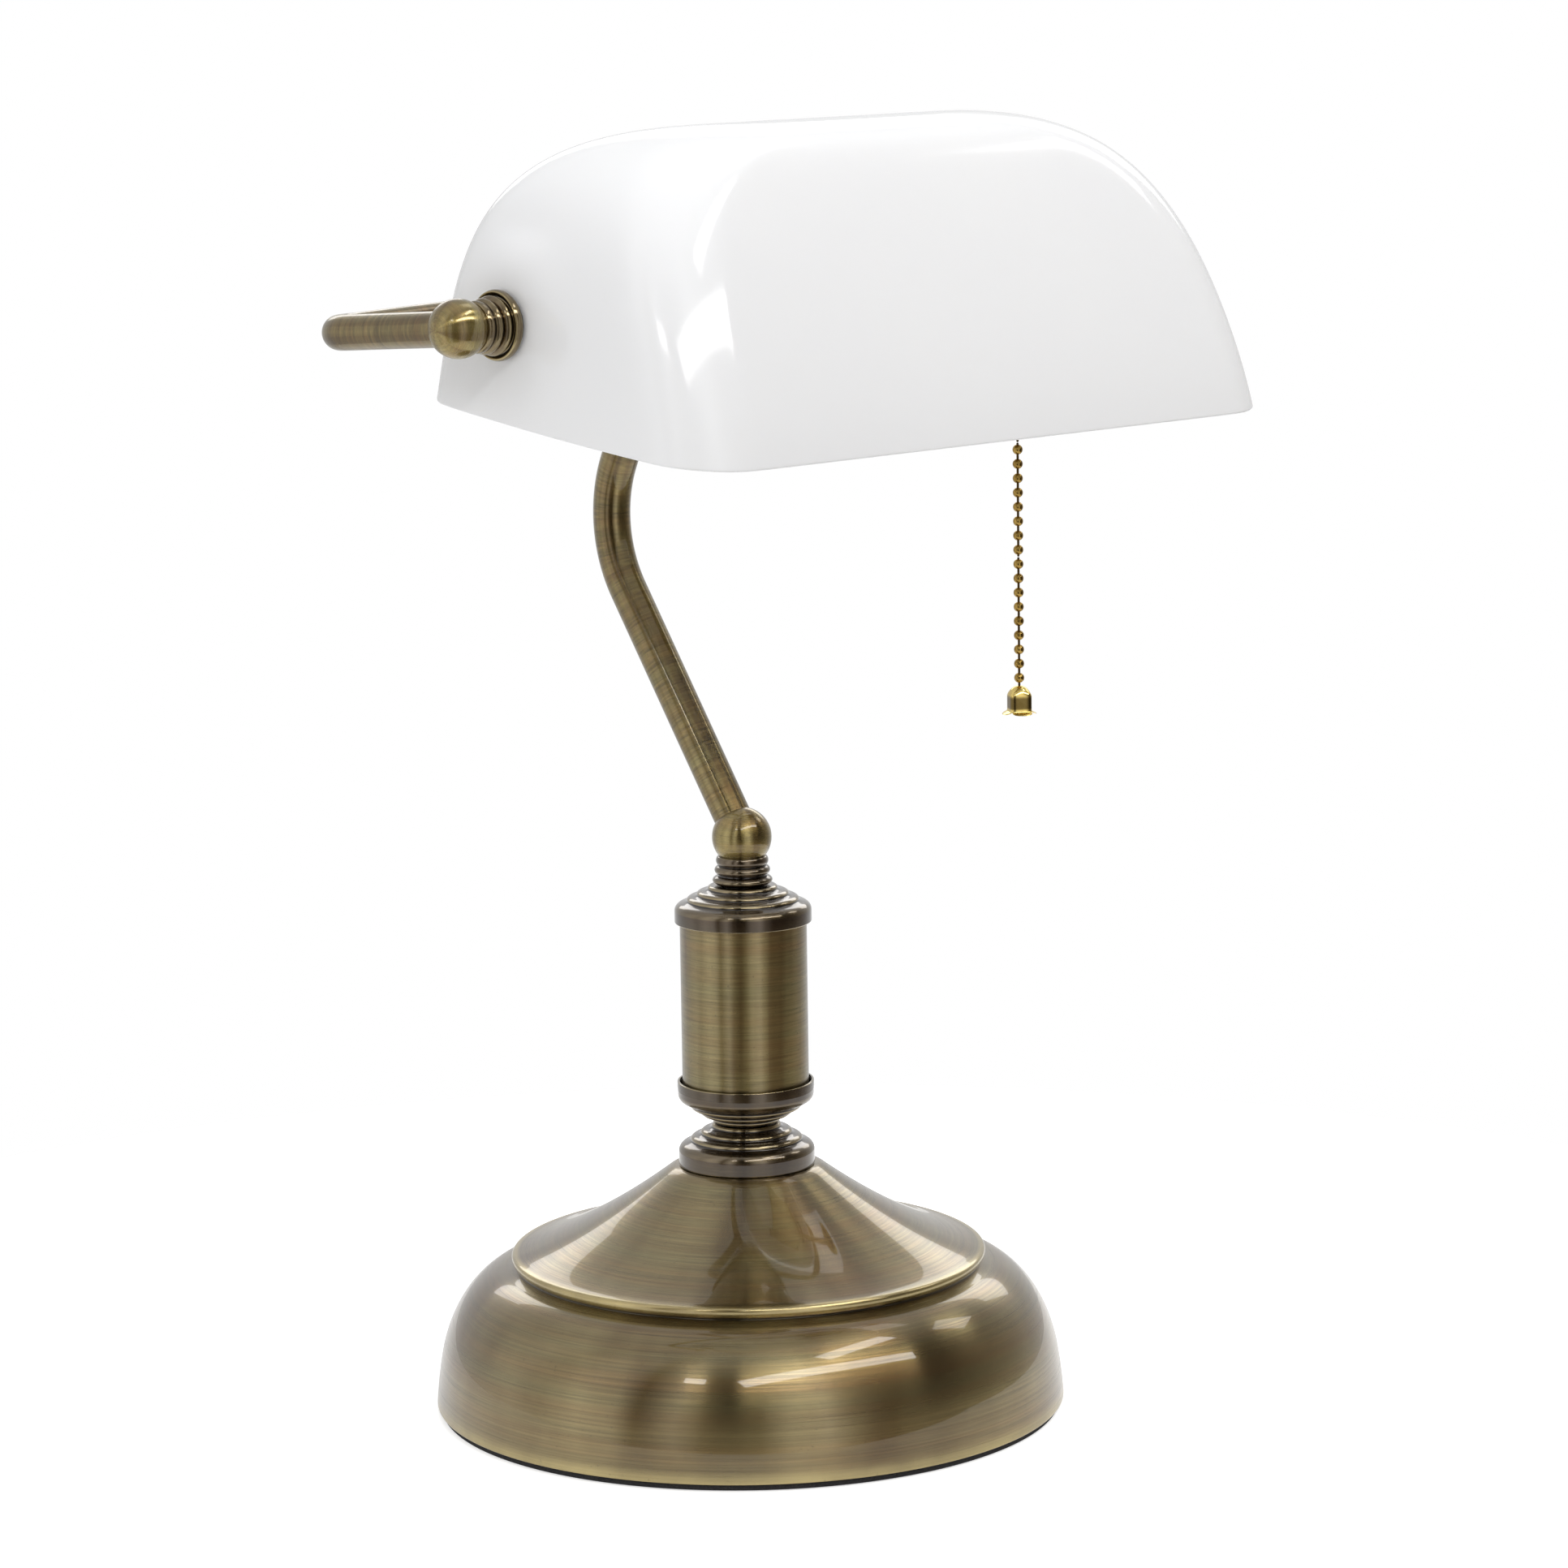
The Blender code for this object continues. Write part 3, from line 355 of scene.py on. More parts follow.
def gold(name, dark, light):
    """Bright lacquered brass of the pull chain and lampholder, painted dark brown as shade on the
    chain's links and the bell's body.
    """
    material, tree, shader = new_material(name)
    cloud = add_noise(tree, object_coordinates(tree), 320.0, 3.0, 0.6)
    colour = add_ramp(tree, cloud, ((0.30, dark), (0.66, light)))
    wear_and_shade = add_attribute(tree, "wear_and_shade").outputs["Fac"]
    # Painted shade: negative values turn the colour dark brown.
    shade_and_patina = add_range(tree, wear_and_shade, -0.2, -0.9, 0.0, 0.9)
    colour = add_mix(tree, shade_and_patina, colour, (0.06, 0.035, 0.012))
    gloss = add_range(tree, cloud, 0.3, 0.7, 0.22, 0.12)
    feed(shader, {"Base Color": colour, "Metallic": 1.0, "Roughness": gloss})
    add_bump(tree, shader, cloud, *FINE_BUMP)
    return material


def opal():
    """Opal white pressed glass: soft white body, sharp gloss, and slightly uneven thickness."""
    material, tree, shader = new_material("opal_white_glass")
    place = object_coordinates(tree)
    cloud = add_noise(tree, place, 14.0, 3.0, 0.5)
    colour = add_ramp(tree, cloud, ((0.30, (0.940, 0.950, 0.970)), (0.70, (0.960, 0.970, 0.985))))
    feed(shader, {"Base Color": colour, "Roughness": 0.11, "IOR": 1.5, "Subsurface Weight": 0.2,
                  "Subsurface Scale": 0.004, "Subsurface Radius": (1.0, 0.97, 0.92),
                  "Coat Weight": 0.05, "Coat Roughness": 0.02})
    add_bump(tree, shader, add_noise(tree, place, 22.0, 1.0, 0.4), 0.05, 0.002)
    return material


def plain(name, dark, light, scale, roughness, metallic=0.0, bump=0.1, depth=0.0002):
    """A finish with fine colour variation and grain; depth is the bump's, in metres."""
    material, tree, shader = new_material(name)
    grain = add_noise(tree, object_coordinates(tree), scale, 4.0, 0.65)
    feed(shader, {"Base Color": add_ramp(tree, grain, ((0.30, dark), (0.70, light))),
                  "Roughness": add_range(tree, grain, 0.3, 0.7, roughness + 0.06, roughness - 0.06),
                  "Metallic": metallic})
    add_bump(tree, shader, grain, bump, depth)
    return material


# --- mesh helpers ---
FILLET_STEPS = 5
FILLET_LIMIT = 0.48  # a fillet takes at most this share of a side


def arc(centre, radius, first, last, steps):
    """Points on a circle, between two angles in degrees."""
    points = []
    for i in range(steps + 1):
        angle = math.radians(first + (last - first) * i / steps)
        points.append((centre[0] + radius * math.cos(angle), centre[1] + radius * math.sin(angle)))
    return points


def rounded(corners):
    """Polyline through (radius, height, fillet) corners, each cut back by its fillet and curved."""
    points = []
    last = len(corners) - 1
    for i, (radius, height, fillet) in enumerate(corners):
        here = Vector((radius, height))
        if i in (0, last) or fillet <= 0.0:
            points.append((radius, height))
            continue
        before = Vector(corners[i - 1][:2]) - here
        after = Vector(corners[i + 1][:2]) - here
        first = here + before.normalized() * min(fillet, FILLET_LIMIT * before.length)
        second = here + after.normalized() * min(fillet, FILLET_LIMIT * after.length)
        for k in range(FILLET_STEPS + 1):
            t = k / FILLET_STEPS
            spot = first * (1 - t) ** 2 + here * 2 * t * (1 - t) + second * t * t
            points.append((spot.x, spot.y))
    return points


def run_along(line):
    """Distance from the first point to each point of a polyline."""
    return np.concatenate(([0.0], np.cumsum(np.linalg.norm(np.diff(line, axis=0), axis=1))))


def directions(line):
    """Unit tangents of a polyline."""
    step = np.gradient(line, axis=0)
    return step / (np.linalg.norm(step, axis=1)[:, None] + 1e-12)


def with_wall(profile, wall):
    """Closed loop: the outer profile, and every fourth point of it back up inside the wall."""
    line = np.array(profile)
    step = directions(line)
    inner = line + wall * np.column_stack((step[:, 1], -step[:, 0]))
    inner[:, 0] = np.maximum(inner[:, 0], 0.4)
    return profile + [tuple(p) for p in inner[::-4]]


def edge_wear_and_groove_shade(line, closed, reach):
    """Per point of a profile run down its outer side: +1 at tight outward corners, for rubbing, and
    -1 in tight grooves, for patina and painted shade.
    """
    count = len(line)
    wear_and_shade = np.zeros(count)
    for i in range(count):
        if not closed and i in (0, count - 1):
            continue
        a = line[i] - line[i - 1]
        b = line[(i + 1) % count] - line[i]
        length = 0.5 * (np.linalg.norm(a) + np.linalg.norm(b))
        if length < 1e-9:
            continue
        turn = math.atan2(a[0] * b[1] - a[1] * b[0], a[0] * b[0] + a[1] * b[1])
        wear_and_shade[i] = max(-1.0, min(1.0, -turn / length * reach))
    return wear_and_shade


SHARP = 40.0  # edges above this angle, in degrees, stay crisp


def finish_mesh(name, vertices, faces, brush, grain, wear_and_shade, material, body, nodes,
                sharp=SHARP):
    """Smooth-shaded piece from plain lists, with brush lines, grain, and rubbing and painted shade
    on its points.
    """
    mesh = bpy.data.meshes.new(name)
    mesh.from_pydata([tuple(v) for v in vertices], [], faces)
    for key, kind, field, values in (("brush", "FLOAT_VECTOR", "vector", brush),
                                     ("grain", "FLOAT_VECTOR", "vector", grain),
                                     ("wear_and_shade", "FLOAT", "value", wear_and_shade)):
        layer = mesh.attributes.new(key, kind, "POINT")
        layer.data.foreach_set(field, np.asarray(values, np.float32).ravel())
    mesh.validate()
    piece = new_object(name, mesh)
    mesh.shade_smooth()
    mesh.set_sharp_from_angle(angle=math.radians(sharp))
    return own(piece, material, body, nodes)


def from_bmesh(work, name):
    """New object in the scene with a bmesh's faces; the bmesh is freed."""
    mesh = bpy.data.meshes.new(name)
    work.to_mesh(mesh)
    work.free()
    return new_object(name, mesh)


def own(piece, material, body, nodes):
    """Gives a piece its finish and its body, and hides the CAD nodes that it stands for."""
    piece.data.materials.clear()
    piece.data.materials.append(material)
    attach(piece, body)
    if nodes:
        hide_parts(*nodes)
    return piece


Z_AXIS = Matrix.Identity(4)
STREAK = 1.4       # brush lines per millimetre along a profile or bar
STREAK_TURN = 0.9  # radius of the circle that a turned piece's brush lines are read round
STREAK_BAR = 0.5   # the same for a bar
BAR_SIDES = 48
TINY = 1e-6


def falloff(value, near, far):
    """1 up to near, easing to 0 at far."""
    share = min(max((far - value) / (far - near), 0.0), 1.0)
    return share * share * (3 - 2 * share)


def turned(name, profile, material, nodes, body=STAND, axis=Z_AXIS, steps=128, closed=False,
           sharp=SHARP, reach=1.0, rub_and_shade=None):
    """Solid of revolution about axis, from a profile in millimetres run down its outer side.

    reach scales what the profile's curvature gives, rubbing at edges and painted shade in grooves;
    an optional function of radius and height adds to it, painted shade where it is negative.
    """
    line = np.array(profile, float)
    run, tangents = run_along(line), directions(line)
    wear_and_shade = edge_wear_and_groove_shade(line, closed, reach)
    vertices, brush, grain, surface_marks, index = [], [], [], [], []
    turn = axis.to_3x3()
    for i, (radius, height) in enumerate(line):
        pole = radius < TINY
        wear_and_shade_here = wear_and_shade[i] if rub_and_shade is None else max(-1.0, min(wear_and_shade[i] + rub_and_shade(radius, height), 1.0))
        row = []
        for k in range(1 if pole else steps):
            angle = 2 * math.pi * k / steps
            c, s = math.cos(angle), math.sin(angle)
            row.append(len(vertices))
            vertices.append(axis @ (Vector((radius * c, radius * s, height)) * MM))
            brush.append((STREAK_TURN * c, STREAK_TURN * s, STREAK * run[i]))
            grain.append(turn @ Vector((tangents[i][0] * c, tangents[i][0] * s, tangents[i][1])))
            surface_marks.append(wear_and_shade_here)
        index.append(row * steps if pole else row)
    faces = []
    pairs = list(zip(index, index[1:]))
    if closed:
        pairs.append((index[-1], index[0]))
    for upper, lower in pairs:
        for k in range(steps):
            j = (k + 1) % steps
            ring = []
            for v in (lower[k], lower[j], upper[j], upper[k]):
                if v not in ring:
                    ring.append(v)
            faces.append(ring)
    if not closed:
        if line[0][0] > TINY:
            faces.append(index[0])
        if line[-1][0] > TINY:
            faces.append(index[-1][::-1])
    return finish_mesh(name, vertices, faces, brush, grain, surface_marks, material, body, nodes,
                       sharp)


def tube(name, path, radius, material, nodes):
    """Round bar of the stand along a smooth path in millimetres, with flat ends."""
    sides = BAR_SIDES
    path = np.array(path, float)
    run, tangents = run_along(path), directions(path)
    normal = Vector(tangents[0]).orthogonal().normalized()
    vertices, brush, grain = [], [], []
    for i, place in enumerate(path):
        along = Vector(tangents[i])
        normal = (normal - along * normal.dot(along)).normalized()
        other = along.cross(normal)
        for k in range(sides):
            angle = 2 * math.pi * k / sides
            c, s = math.cos(angle), math.sin(angle)
            vertices.append((Vector(place) + normal * radius * c + other * radius * s) * MM)
            brush.append((STREAK_BAR * c, STREAK_BAR * s, STREAK * run[i]))
            grain.append(along)
    faces = []
    for i in range(len(path) - 1):
        for k in range(sides):
            j = (k + 1) % sides
            here, there = i * sides, (i + 1) * sides
            faces.append((here + k, here + j, there + j, there + k))
    faces.append(tuple(reversed(range(sides))))
    faces.append(tuple(range((len(path) - 1) * sides, len(path) * sides)))
    wear_and_shade = [0.0] * len(vertices)
    return finish_mesh(name, vertices, faces, brush, grain, wear_and_shade, material, STAND, nodes)


def sphere_profile(radius, centre, rows=33, first=0.0, last=180.0):
    """Half circle from the top down, between two polar angles in degrees."""
    points = arc((0.0, centre), radius, 90.0 - first, 90.0 - last, rows - 1)
    return [(max(x, 0.0), y) for x, y in points]


def along_x(sign):
    """Axis through the shade's pivots, with local +Z pointing outward on that side."""
    place = Matrix.Translation((0.0, PIVOT.y, PIVOT.z))
    return place @ Matrix.Rotation(sign * math.pi / 2, 4, "Y")


# --- base ---
def top_of(node):
    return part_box(node)[1].z / MM


def bottom_of(node):
    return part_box(node)[0].z / MM


COVER_WALL = 1.2
NECK_BORE, NECK_RADIUS, CONE_TOP = 5.6, 20.4, 21.0
CONE_STEPS, CONE_STRAIGHT, CONE_POWER = 40, 0.35, 1.6
LIP_RADIUS, LIP_TOP = 66.9, 44.6
BOWL_TOP, BOWL_FOOT, BOWL_SHOULDER, BOWL_GROWTH = 40.3, 9.4, 65.3, 22.5
BOWL_STEPS, BOWL_FIRST, BOWL_SWEEP = 48, 6.0, 71.8       # degrees round the bowl's shoulder
BOWL_OUT, BOWL_DOWN = 0.948, 1.105                       # powers that flatten the bowl's round
SKIRT_STEPS, SKIRT_FLARE = 16, 0.45
LIP_WEAR = (66.0, 43.8)                                  # radius and height of the rubbed lip


def build_base(finish):
    """Spun cover, from its neck down a cone, over a lip and round the bowl; and felt under it."""
    low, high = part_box("base_cover")
    rim = (high.x - low.x) / 2 / MM
    top = high.z / MM
    bottom = low.z / MM
    line = [(NECK_BORE, top, 0.0), (NECK_RADIUS, top, 0.0), (CONE_TOP, top - 0.25, 0.5)]
    for i in range(1, CONE_STEPS):
        share = i / CONE_STEPS
        radius = CONE_TOP + (LIP_RADIUS - 1.4 - CONE_TOP) * share
        drop = CONE_STRAIGHT * (1 - share) + (1 - CONE_STRAIGHT) * (1 - share) ** CONE_POWER
        line.append((radius, LIP_TOP + (top - LIP_TOP) * drop, 0.0))
    line += [(LIP_RADIUS, LIP_TOP - 0.1, 1.1), (LIP_RADIUS, LIP_TOP - 2.1, 0.9),
             (65.2, BOWL_TOP + 0.9, 0.6)]
    for i in range(BOWL_STEPS + 1):
        angle = math.radians(BOWL_FIRST + BOWL_SWEEP * i / BOWL_STEPS)
        radius = BOWL_SHOULDER + BOWL_GROWTH * math.sin(angle) ** BOWL_OUT
        height = BOWL_FOOT + (BOWL_TOP - BOWL_FOOT) * math.cos(angle) ** BOWL_DOWN
        line.append((radius, height, 0.0))
    fall = height - bottom
    for i in range(1, SKIRT_STEPS + 1):
        down = i / SKIRT_STEPS
        out = (rim - 0.25 - radius) * (1 + SKIRT_FLARE - SKIRT_FLARE * down) * down
        line.append((radius + out, height - fall * down, 0.0))
    line[-1] = (*line[-1][:2], 0.6)
    line += [(rim - 1.6, bottom, 0.0)]

    def rub_and_shade(r, z):
        lip = abs(r - LIP_WEAR[0]) + abs(z - LIP_WEAR[1])
        return 0.75 * falloff(z - bottom, 0.5, 5.0) + 0.8 * falloff(lip, 0.8, 3.0)

    turned("base_cover_skin", with_wall(rounded(line), COVER_WALL), finish["cone"],
           ["base_cover"], steps=256, closed=True, reach=0.8, rub_and_shade=rub_and_shade)
    low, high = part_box("base_pad")
    radius = (high.x - low.x) / 2 / MM
    top = high.z / MM
    corners = [(0.0, top, 0.0), (radius, top, 0.3), (radius, 0.0, 0.4), (0.0, 0.0, 0.0)]
    turned("felt_pad", rounded(corners), finish["felt"], ["base_pad"], steps=192)


def build_grommet(finish):
    """Rubber bush in the back of the base, with a flange outside and a bore for the cord."""
    low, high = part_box("cord_grommet")
    centre = (low + high) / 2
    place = Matrix.Translation((0, 0, centre.z))
    axis = place @ Matrix.Rotation(-math.pi / 2, 4, "X")
    out = high.y / MM
    radius = (high.x - low.x) / 2 / MM
    body = radius - 2.0
    bore, inner, flange = 3.1, out - 7.2, out - 1.9
    corners = [(bore, inner, 0.0), (bore, out - 0.6, 0.5), (3.6, out, 0.6),
               (radius - 1.2, out, 0.9), (radius, out - 1.1, 0.8), (radius, flange, 0.2),
               (body, flange, 0.0), (body, inner, 0.0)]
    turned("rubber_inlet", rounded(corners)[::-1], finish["rubber"],
           ["cord_grommet"], axis=axis, steps=64, closed=True)


# --- column ---
CAP_RADIUS, CAP_WALL = 19.3, 0.9
# Outline of a stepped cap, from its top: radius, share of its height, and fillet.
CAP_CORNERS = [(6.0, 1.0, 0.0), (9.3, 1.0, 0.5), (9.85, 0.955, 0.4), (9.85, 0.90, 0.3),
               (10.5, 0.865, 0.4), (12.3, 0.845, 0.5), (12.95, 0.80, 0.5), (12.95, 0.745, 0.3),
               (13.6, 0.71, 0.4), (15.1, 0.69, 0.5), (15.8, 0.64, 0.5), (15.8, 0.58, 0.3),
               (16.5, 0.545, 0.5), (18.3, 0.50, 1.0), (CAP_RADIUS, 0.385, 0.8),
               (CAP_RADIUS, 0.0, 0.25), (18.7, 0.0, 0.0)]


def stepped_cap(name, node, finish, upside_down=False):
    """Spun cap with three steps, scaled to its CAD node."""
    low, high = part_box(node)
    height = (high.z - low.z) / MM
    scale = (high.x - low.x) / 2 / MM / CAP_RADIUS
    corners = [(radius * scale, share * height, fillet) for radius, share, fillet in CAP_CORNERS]
    if upside_down:
        axis = Matrix.Translation((0, 0, high.z)) @ Matrix.Rotation(math.pi, 4, "X")
    else:
        axis = Matrix.Translation((0, 0, low.z))
    turned(name, with_wall(rounded(corners), CAP_WALL), finish["dark"], [node],
           axis=axis, closed=True, reach=0.7)


# Each rib's first and last depth below the ball's centre, and its radius.
COLLAR_RIBS = ((5.3, 7.8, 7.35), (8.0, 10.5, 7.8), (10.8, 13.4, 8.4))
COLLAR_GROOVE, COLLAR_BORE, RIB_STEPS, RIB_ROUND = 6.75, 4.6, 16, 0.62
COLLAR_BALL, YOKE_COLLAR = 8.35, 0.93  # ball that the collar is drawn for, and the yoke's scale


def ribbed_collar(name, node, material, axis, scale):
    """Three round ribs under a ball."""
    line = [(COLLAR_BORE, -COLLAR_RIBS[0][0])]
    for first, last, peak in COLLAR_RIBS:
        for i in range(RIB_STEPS + 1):
            share = i / RIB_STEPS
            swell = math.sin(math.pi * share) ** RIB_ROUND if 0 < i < RIB_STEPS else 0.0
            line.append((COLLAR_GROOVE + (peak - COLLAR_GROOVE) * swell,
                         -first - (last - first) * share))
    line.append((COLLAR_BORE, -COLLAR_RIBS[-1][1]))
    line = [(radius * scale, height * scale) for radius, height in line]
    turned(name, line, material, [node], axis=axis, closed=True, reach=0.35,
           steps=96, sharp=60.0)


def build_column(finish):
    """Neck cap, cup, sleeve, cap, ribs and ball; returns the height of the ball's centre."""
    stepped_cap("base_neck_rings", "base_neck_cap", finish)
    stepped_cap("column_cup_rings", "column_cup", finish, upside_down=True)
    stepped_cap("column_cap_rings", "column_cap", finish)
    low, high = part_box("column_tube")
    radius = (high.x - low.x) / 2 / MM
    top, bottom = high.z / MM, low.z / MM
    outline = [(radius, top), (radius, bottom), (radius - 1, bottom), (radius - 1, top)]
    turned("column_sleeve", cut_sides(outline, 24), finish["tube"],
           ["column_tube"], closed=True, steps=160)
    low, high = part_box("column_ball")
    radius = (high.x - low.x) / 2 / MM
    centre = high.z / MM - radius
    ribbed_collar("neck_ribs", "column_collar", finish["dark"],
                  Matrix.Translation((0, 0, centre * MM)), radius / COLLAR_BALL)
    turned("neck_ball", sphere_profile(radius, centre), finish["ball"],
           ["column_ball"], steps=96)
    return centre


def cut_sides(outline, pieces):
    """A closed outline with each side cut into equal pieces."""
    points = []
    for i, (radius, height) in enumerate(outline):
        following = outline[(i + 1) % len(outline)]
        for k in range(pieces):
            share = k / pieces
            points.append((radius + (following[0] - radius) * share,
                           height + (following[1] - height) * share))
    return points


# --- stem and yoke ---
STEM_RADIUS, YOKE_RADIUS = 5.3, 4.7
STEM_BEND, STEM_KNEE = 37.0, (51.1, 249.0)
STEM_FOOT_GAP, STEM_HEAD_GAP = 5.0, 3.6  # ends to the centres of the ball and the back bar
YOKE_BACK, YOKE_CORNER_HEIGHT = (26.0, 312.0), 310.0
YOKE_CORNER, YOKE_TIP, YOKE_FLAT = 11.0, 3.0, 8.0
ROSETTE_SEAT, ROSETTE_BORE = 111.1, 4.6
# Rosette outline: radius, height over its seat, and fillet.
ROSETTE = ((ROSETTE_BORE, 0.5, 0.0), (7.1, 0.5, 0.4), (7.7, 0.1, 0.6), (8.2, 0.8, 0.6),
           (8.8, 1.1, 0.5), (9.25, 0.3, 0.8), (9.25, -0.7, 0.5), (9.0, -1.2, 0.2),
           (ROSETTE_BORE, -1.2, 0.0))


def tangent_angle(centre, radius, target, side):
    """Angle on a circle where a tangent from target touches it; side is +1 or -1."""
    away = Vector(target) - Vector(centre)
    return math.atan2(away.y, away.x) + side * math.acos(radius / away.length)


def stem_path(foot_height):
    """The stem's centreline: straight leg, round knee and a leg that leans to the back bar."""
    centre = (STEM_KNEE[0] - STEM_BEND, STEM_KNEE[1])
    low = tangent_angle(centre, STEM_BEND, (0.0, foot_height), 1)
    high = tangent_angle(centre, STEM_BEND, YOKE_BACK, -1)
    bend = arc(centre, STEM_BEND, math.degrees(low), math.degrees(high), 48)
    knee = [(0.0, y, z) for y, z in bend]
    first, last = Vector(knee[0]), Vector(knee[-1])
    foot = Vector((0.0, 0.0, foot_height))
    head = Vector((0.0, *YOKE_BACK))
    start = foot + (first - foot).normalized() * STEM_FOOT_GAP
    end = head + (last - head).normalized() * STEM_HEAD_GAP
    legs = [start + (first - start) * i / 40 for i in range(40)]
    tops = [last + (end - last) * i / 24 for i in range(1, 25)]
    return [tuple(p) for p in legs] + knee + [tuple(p) for p in tops]


def yoke_path(arm_x):
    """The yoke's centreline, from one pivot round the arched back bar to the other."""
    pivot_y, pivot_z = PIVOT.y / MM, PIVOT.z / MM
    slope = (YOKE_CORNER_HEIGHT - pivot_z) / (YOKE_BACK[0] - pivot_y)
    tip = pivot_y + YOKE_TIP
    corner_y = YOKE_BACK[0] - YOKE_CORNER
    half = [(-arm_x, tip + (corner_y - tip) * i / 16) for i in range(16)]
    half += arc((YOKE_CORNER - arm_x, corner_y), YOKE_CORNER, 180, 90, 16)
    bar = arm_x - YOKE_CORNER
    half += [(-bar + bar * i / 40, YOKE_BACK[0]) for i in range(1, 41)]
    rise = YOKE_BACK[1] - YOKE_CORNER_HEIGHT
    path = []
    for x, y in half + [(-x, y) for x, y in reversed(half[:-1])]:
        share = min(max((abs(x) - YOKE_FLAT) / (bar - YOKE_FLAT), 0.0), 1.0)
        path.append((x, y, pivot_z + slope * (y - pivot_y) + rise * (1 - share ** 2)))
    return path


def build_stem(finish, ball_height):
    """Bent stem, yoke, and the ball, ribs and rosette at each pivot."""
    tube("bent_stem", stem_path(ball_height), STEM_RADIUS, finish["stem"],
         ["stem_tube"])
    low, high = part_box("left_end_ball")
    radius = (high.z - low.z) / 2 / MM
    arm_x = -low.x / MM - radius
    tube("yoke_bar", yoke_path(arm_x), YOKE_RADIUS, finish["stem"], ["yoke_tube"])
    rosette = [(r, ROSETTE_SEAT + height, fillet) for r, height, fillet in ROSETTE]
    for side, sign in (("left", -1), ("right", 1)):
        axis = along_x(sign)
        turned(side + "_ball", sphere_profile(radius, arm_x), finish["ball"],
               [side + "_end_ball"], axis=axis, steps=96)
        shift = axis @ Matrix.Translation((0, 0, arm_x * MM))
        ribbed_collar(side + "_ribs", side + "_collar", finish["mid"], shift, YOKE_COLLAR)
        turned(side + "_rosette", rounded(rosette), finish["mid"],
               [side + "_flange"], axis=axis, steps=96, closed=True, reach=0.5)


# --- shade ---
SHADE_TILT = math.radians(7.2)
SHADE_HEIGHT, SHADE_RIM = 75.7, 24.7  # whole height, and the part of it below the pivots
SHADE_FRONT, SHADE_BACK, SHADE_RIDGE = 78.8, 31.0, -31.3
SHADE_HALF, SHADE_CROWN, SHADE_FLARE = 112.6, 17.0, 0.11
SHADE_WALL = 3.4
FRONT_POWER, BACK_POWER, END_POWER = 1.19, 3.59, 4.04  # of the curves from rim to ridge
FRONT_CORNER, BACK_CORNER, END_BOW = 18.5, 12.5, 3.2
CREST_STEP, CREST_BLUR, CREST_REACH = 0.5, 4.5, 30     # spacing, width and samples of the rounding
SEAT, SEAT_EDGE = 109.0, 6.0               # half width over the flat seats, and their depth
SEAT_FLAT, SEAT_EASED = 11.0, 27.0         # flat up to this radius, untouched past this one
LOW_LIFTS, RING_ANGLES = [0.0, 0.7, 2.4], np.linspace(5, 86.5, 24)


def spaced(line, step):
    """Points at even steps along a polyline."""
    run = run_along(line)
    even = np.arange(0.0, run[-1], step)
    return np.column_stack([np.interp(even, run, line[:, k]) for k in range(2)])


def shade_side_curves(inset):
    """Front and back depth of the shade against height, from one outline with its crest rounded."""
    share = np.sin(np.linspace(0, math.pi / 2, 400))
    front_fall = (1 - share ** FRONT_POWER) ** (1 / FRONT_POWER)
    back_fall = (1 - share ** BACK_POWER) ** (1 / BACK_POWER)
    front = SHADE_RIDGE - (SHADE_FRONT - inset + SHADE_RIDGE) * front_fall
    back = SHADE_RIDGE + (SHADE_BACK - inset - SHADE_RIDGE) * back_fall
    height = share * (SHADE_HEIGHT - inset)
    line = np.concatenate((np.column_stack((front, height)),
                           np.column_stack((back, height))[-2::-1]))
    line = spaced(line, CREST_STEP)
    offsets = np.arange(-CREST_REACH, CREST_REACH + 1) * CREST_STEP
    kernel = np.exp(-0.5 * (offsets / CREST_BLUR) ** 2)
    kernel /= kernel.sum()
    ahead = 2 * line[0] - line[CREST_REACH:0:-1]
    behind = 2 * line[-1] - line[-2:-CREST_REACH - 2:-1]
    padded = np.concatenate((ahead, line, behind))
    line = np.column_stack([np.convolve(padded[:, k], kernel, "valid") for k in range(2)])
    line[:, 1] -= line[0, 1]
    line[:, 1] *= (SHADE_HEIGHT - inset) / line[:, 1].max()
    top = int(line[:, 1].argmax())
    return line[:top + 1], line[top:][::-1]


def shade_outline(lift, share, curves, inset):
    """One level outline of the shade, as x, y pairs from the front middle round the right end."""
    front = float(np.interp(lift, curves[0][:, 1], curves[0][:, 0]))
    back = float(np.interp(lift, curves[1][:, 1], curves[1][:, 0]))
    crown = SHADE_CROWN - inset
    span = SHADE_HALF - inset - SHADE_FLARE * lift - crown
    half = crown + span * max(1 - share ** END_POWER, 0.0) ** (1 / END_POWER)
    depth = max(back - front, 0.2)
    front_corner = min(FRONT_CORNER - inset, 0.5 * depth)
    back_corner = min(BACK_CORNER - inset, 0.4 * depth)
    side = half - END_BOW
    low, high = front + front_corner, back - back_corner
    outline = [((side - front_corner) * k / 6, front) for k in range(6)]
    outline += arc((side - front_corner, low), front_corner, -90, 0, 8)
    for k in range(1, 8):
        outline.append((side, low + (high - low) * k / 8))
    outline += arc((side - back_corner, high), back_corner, 0, 90, 5)
    outline += [((side - back_corner) * (1 - k / 6), back) for k in range(1, 7)]
    shaped = []
    for x, y in outline:
        across = min(max((y - front) / depth, 0.0), 1.0)
        outward = min(max(x / max(side, TINY), 0.0), 1.0) ** 6
        shaped.append((x + END_BOW * (1 - (2 * across - 1) ** 2) * outward, y))
    return shaped


def seat_x(x, y, lift, seat):
    """Eases the ends towards a flat seat round each pivot."""
    if abs(x) < seat - SEAT_EDGE:
        return x
    blend = 1 - falloff(math.hypot(y, lift), SEAT_FLAT, SEAT_EASED)
    return math.copysign(seat + (abs(x) - seat) * blend, x)


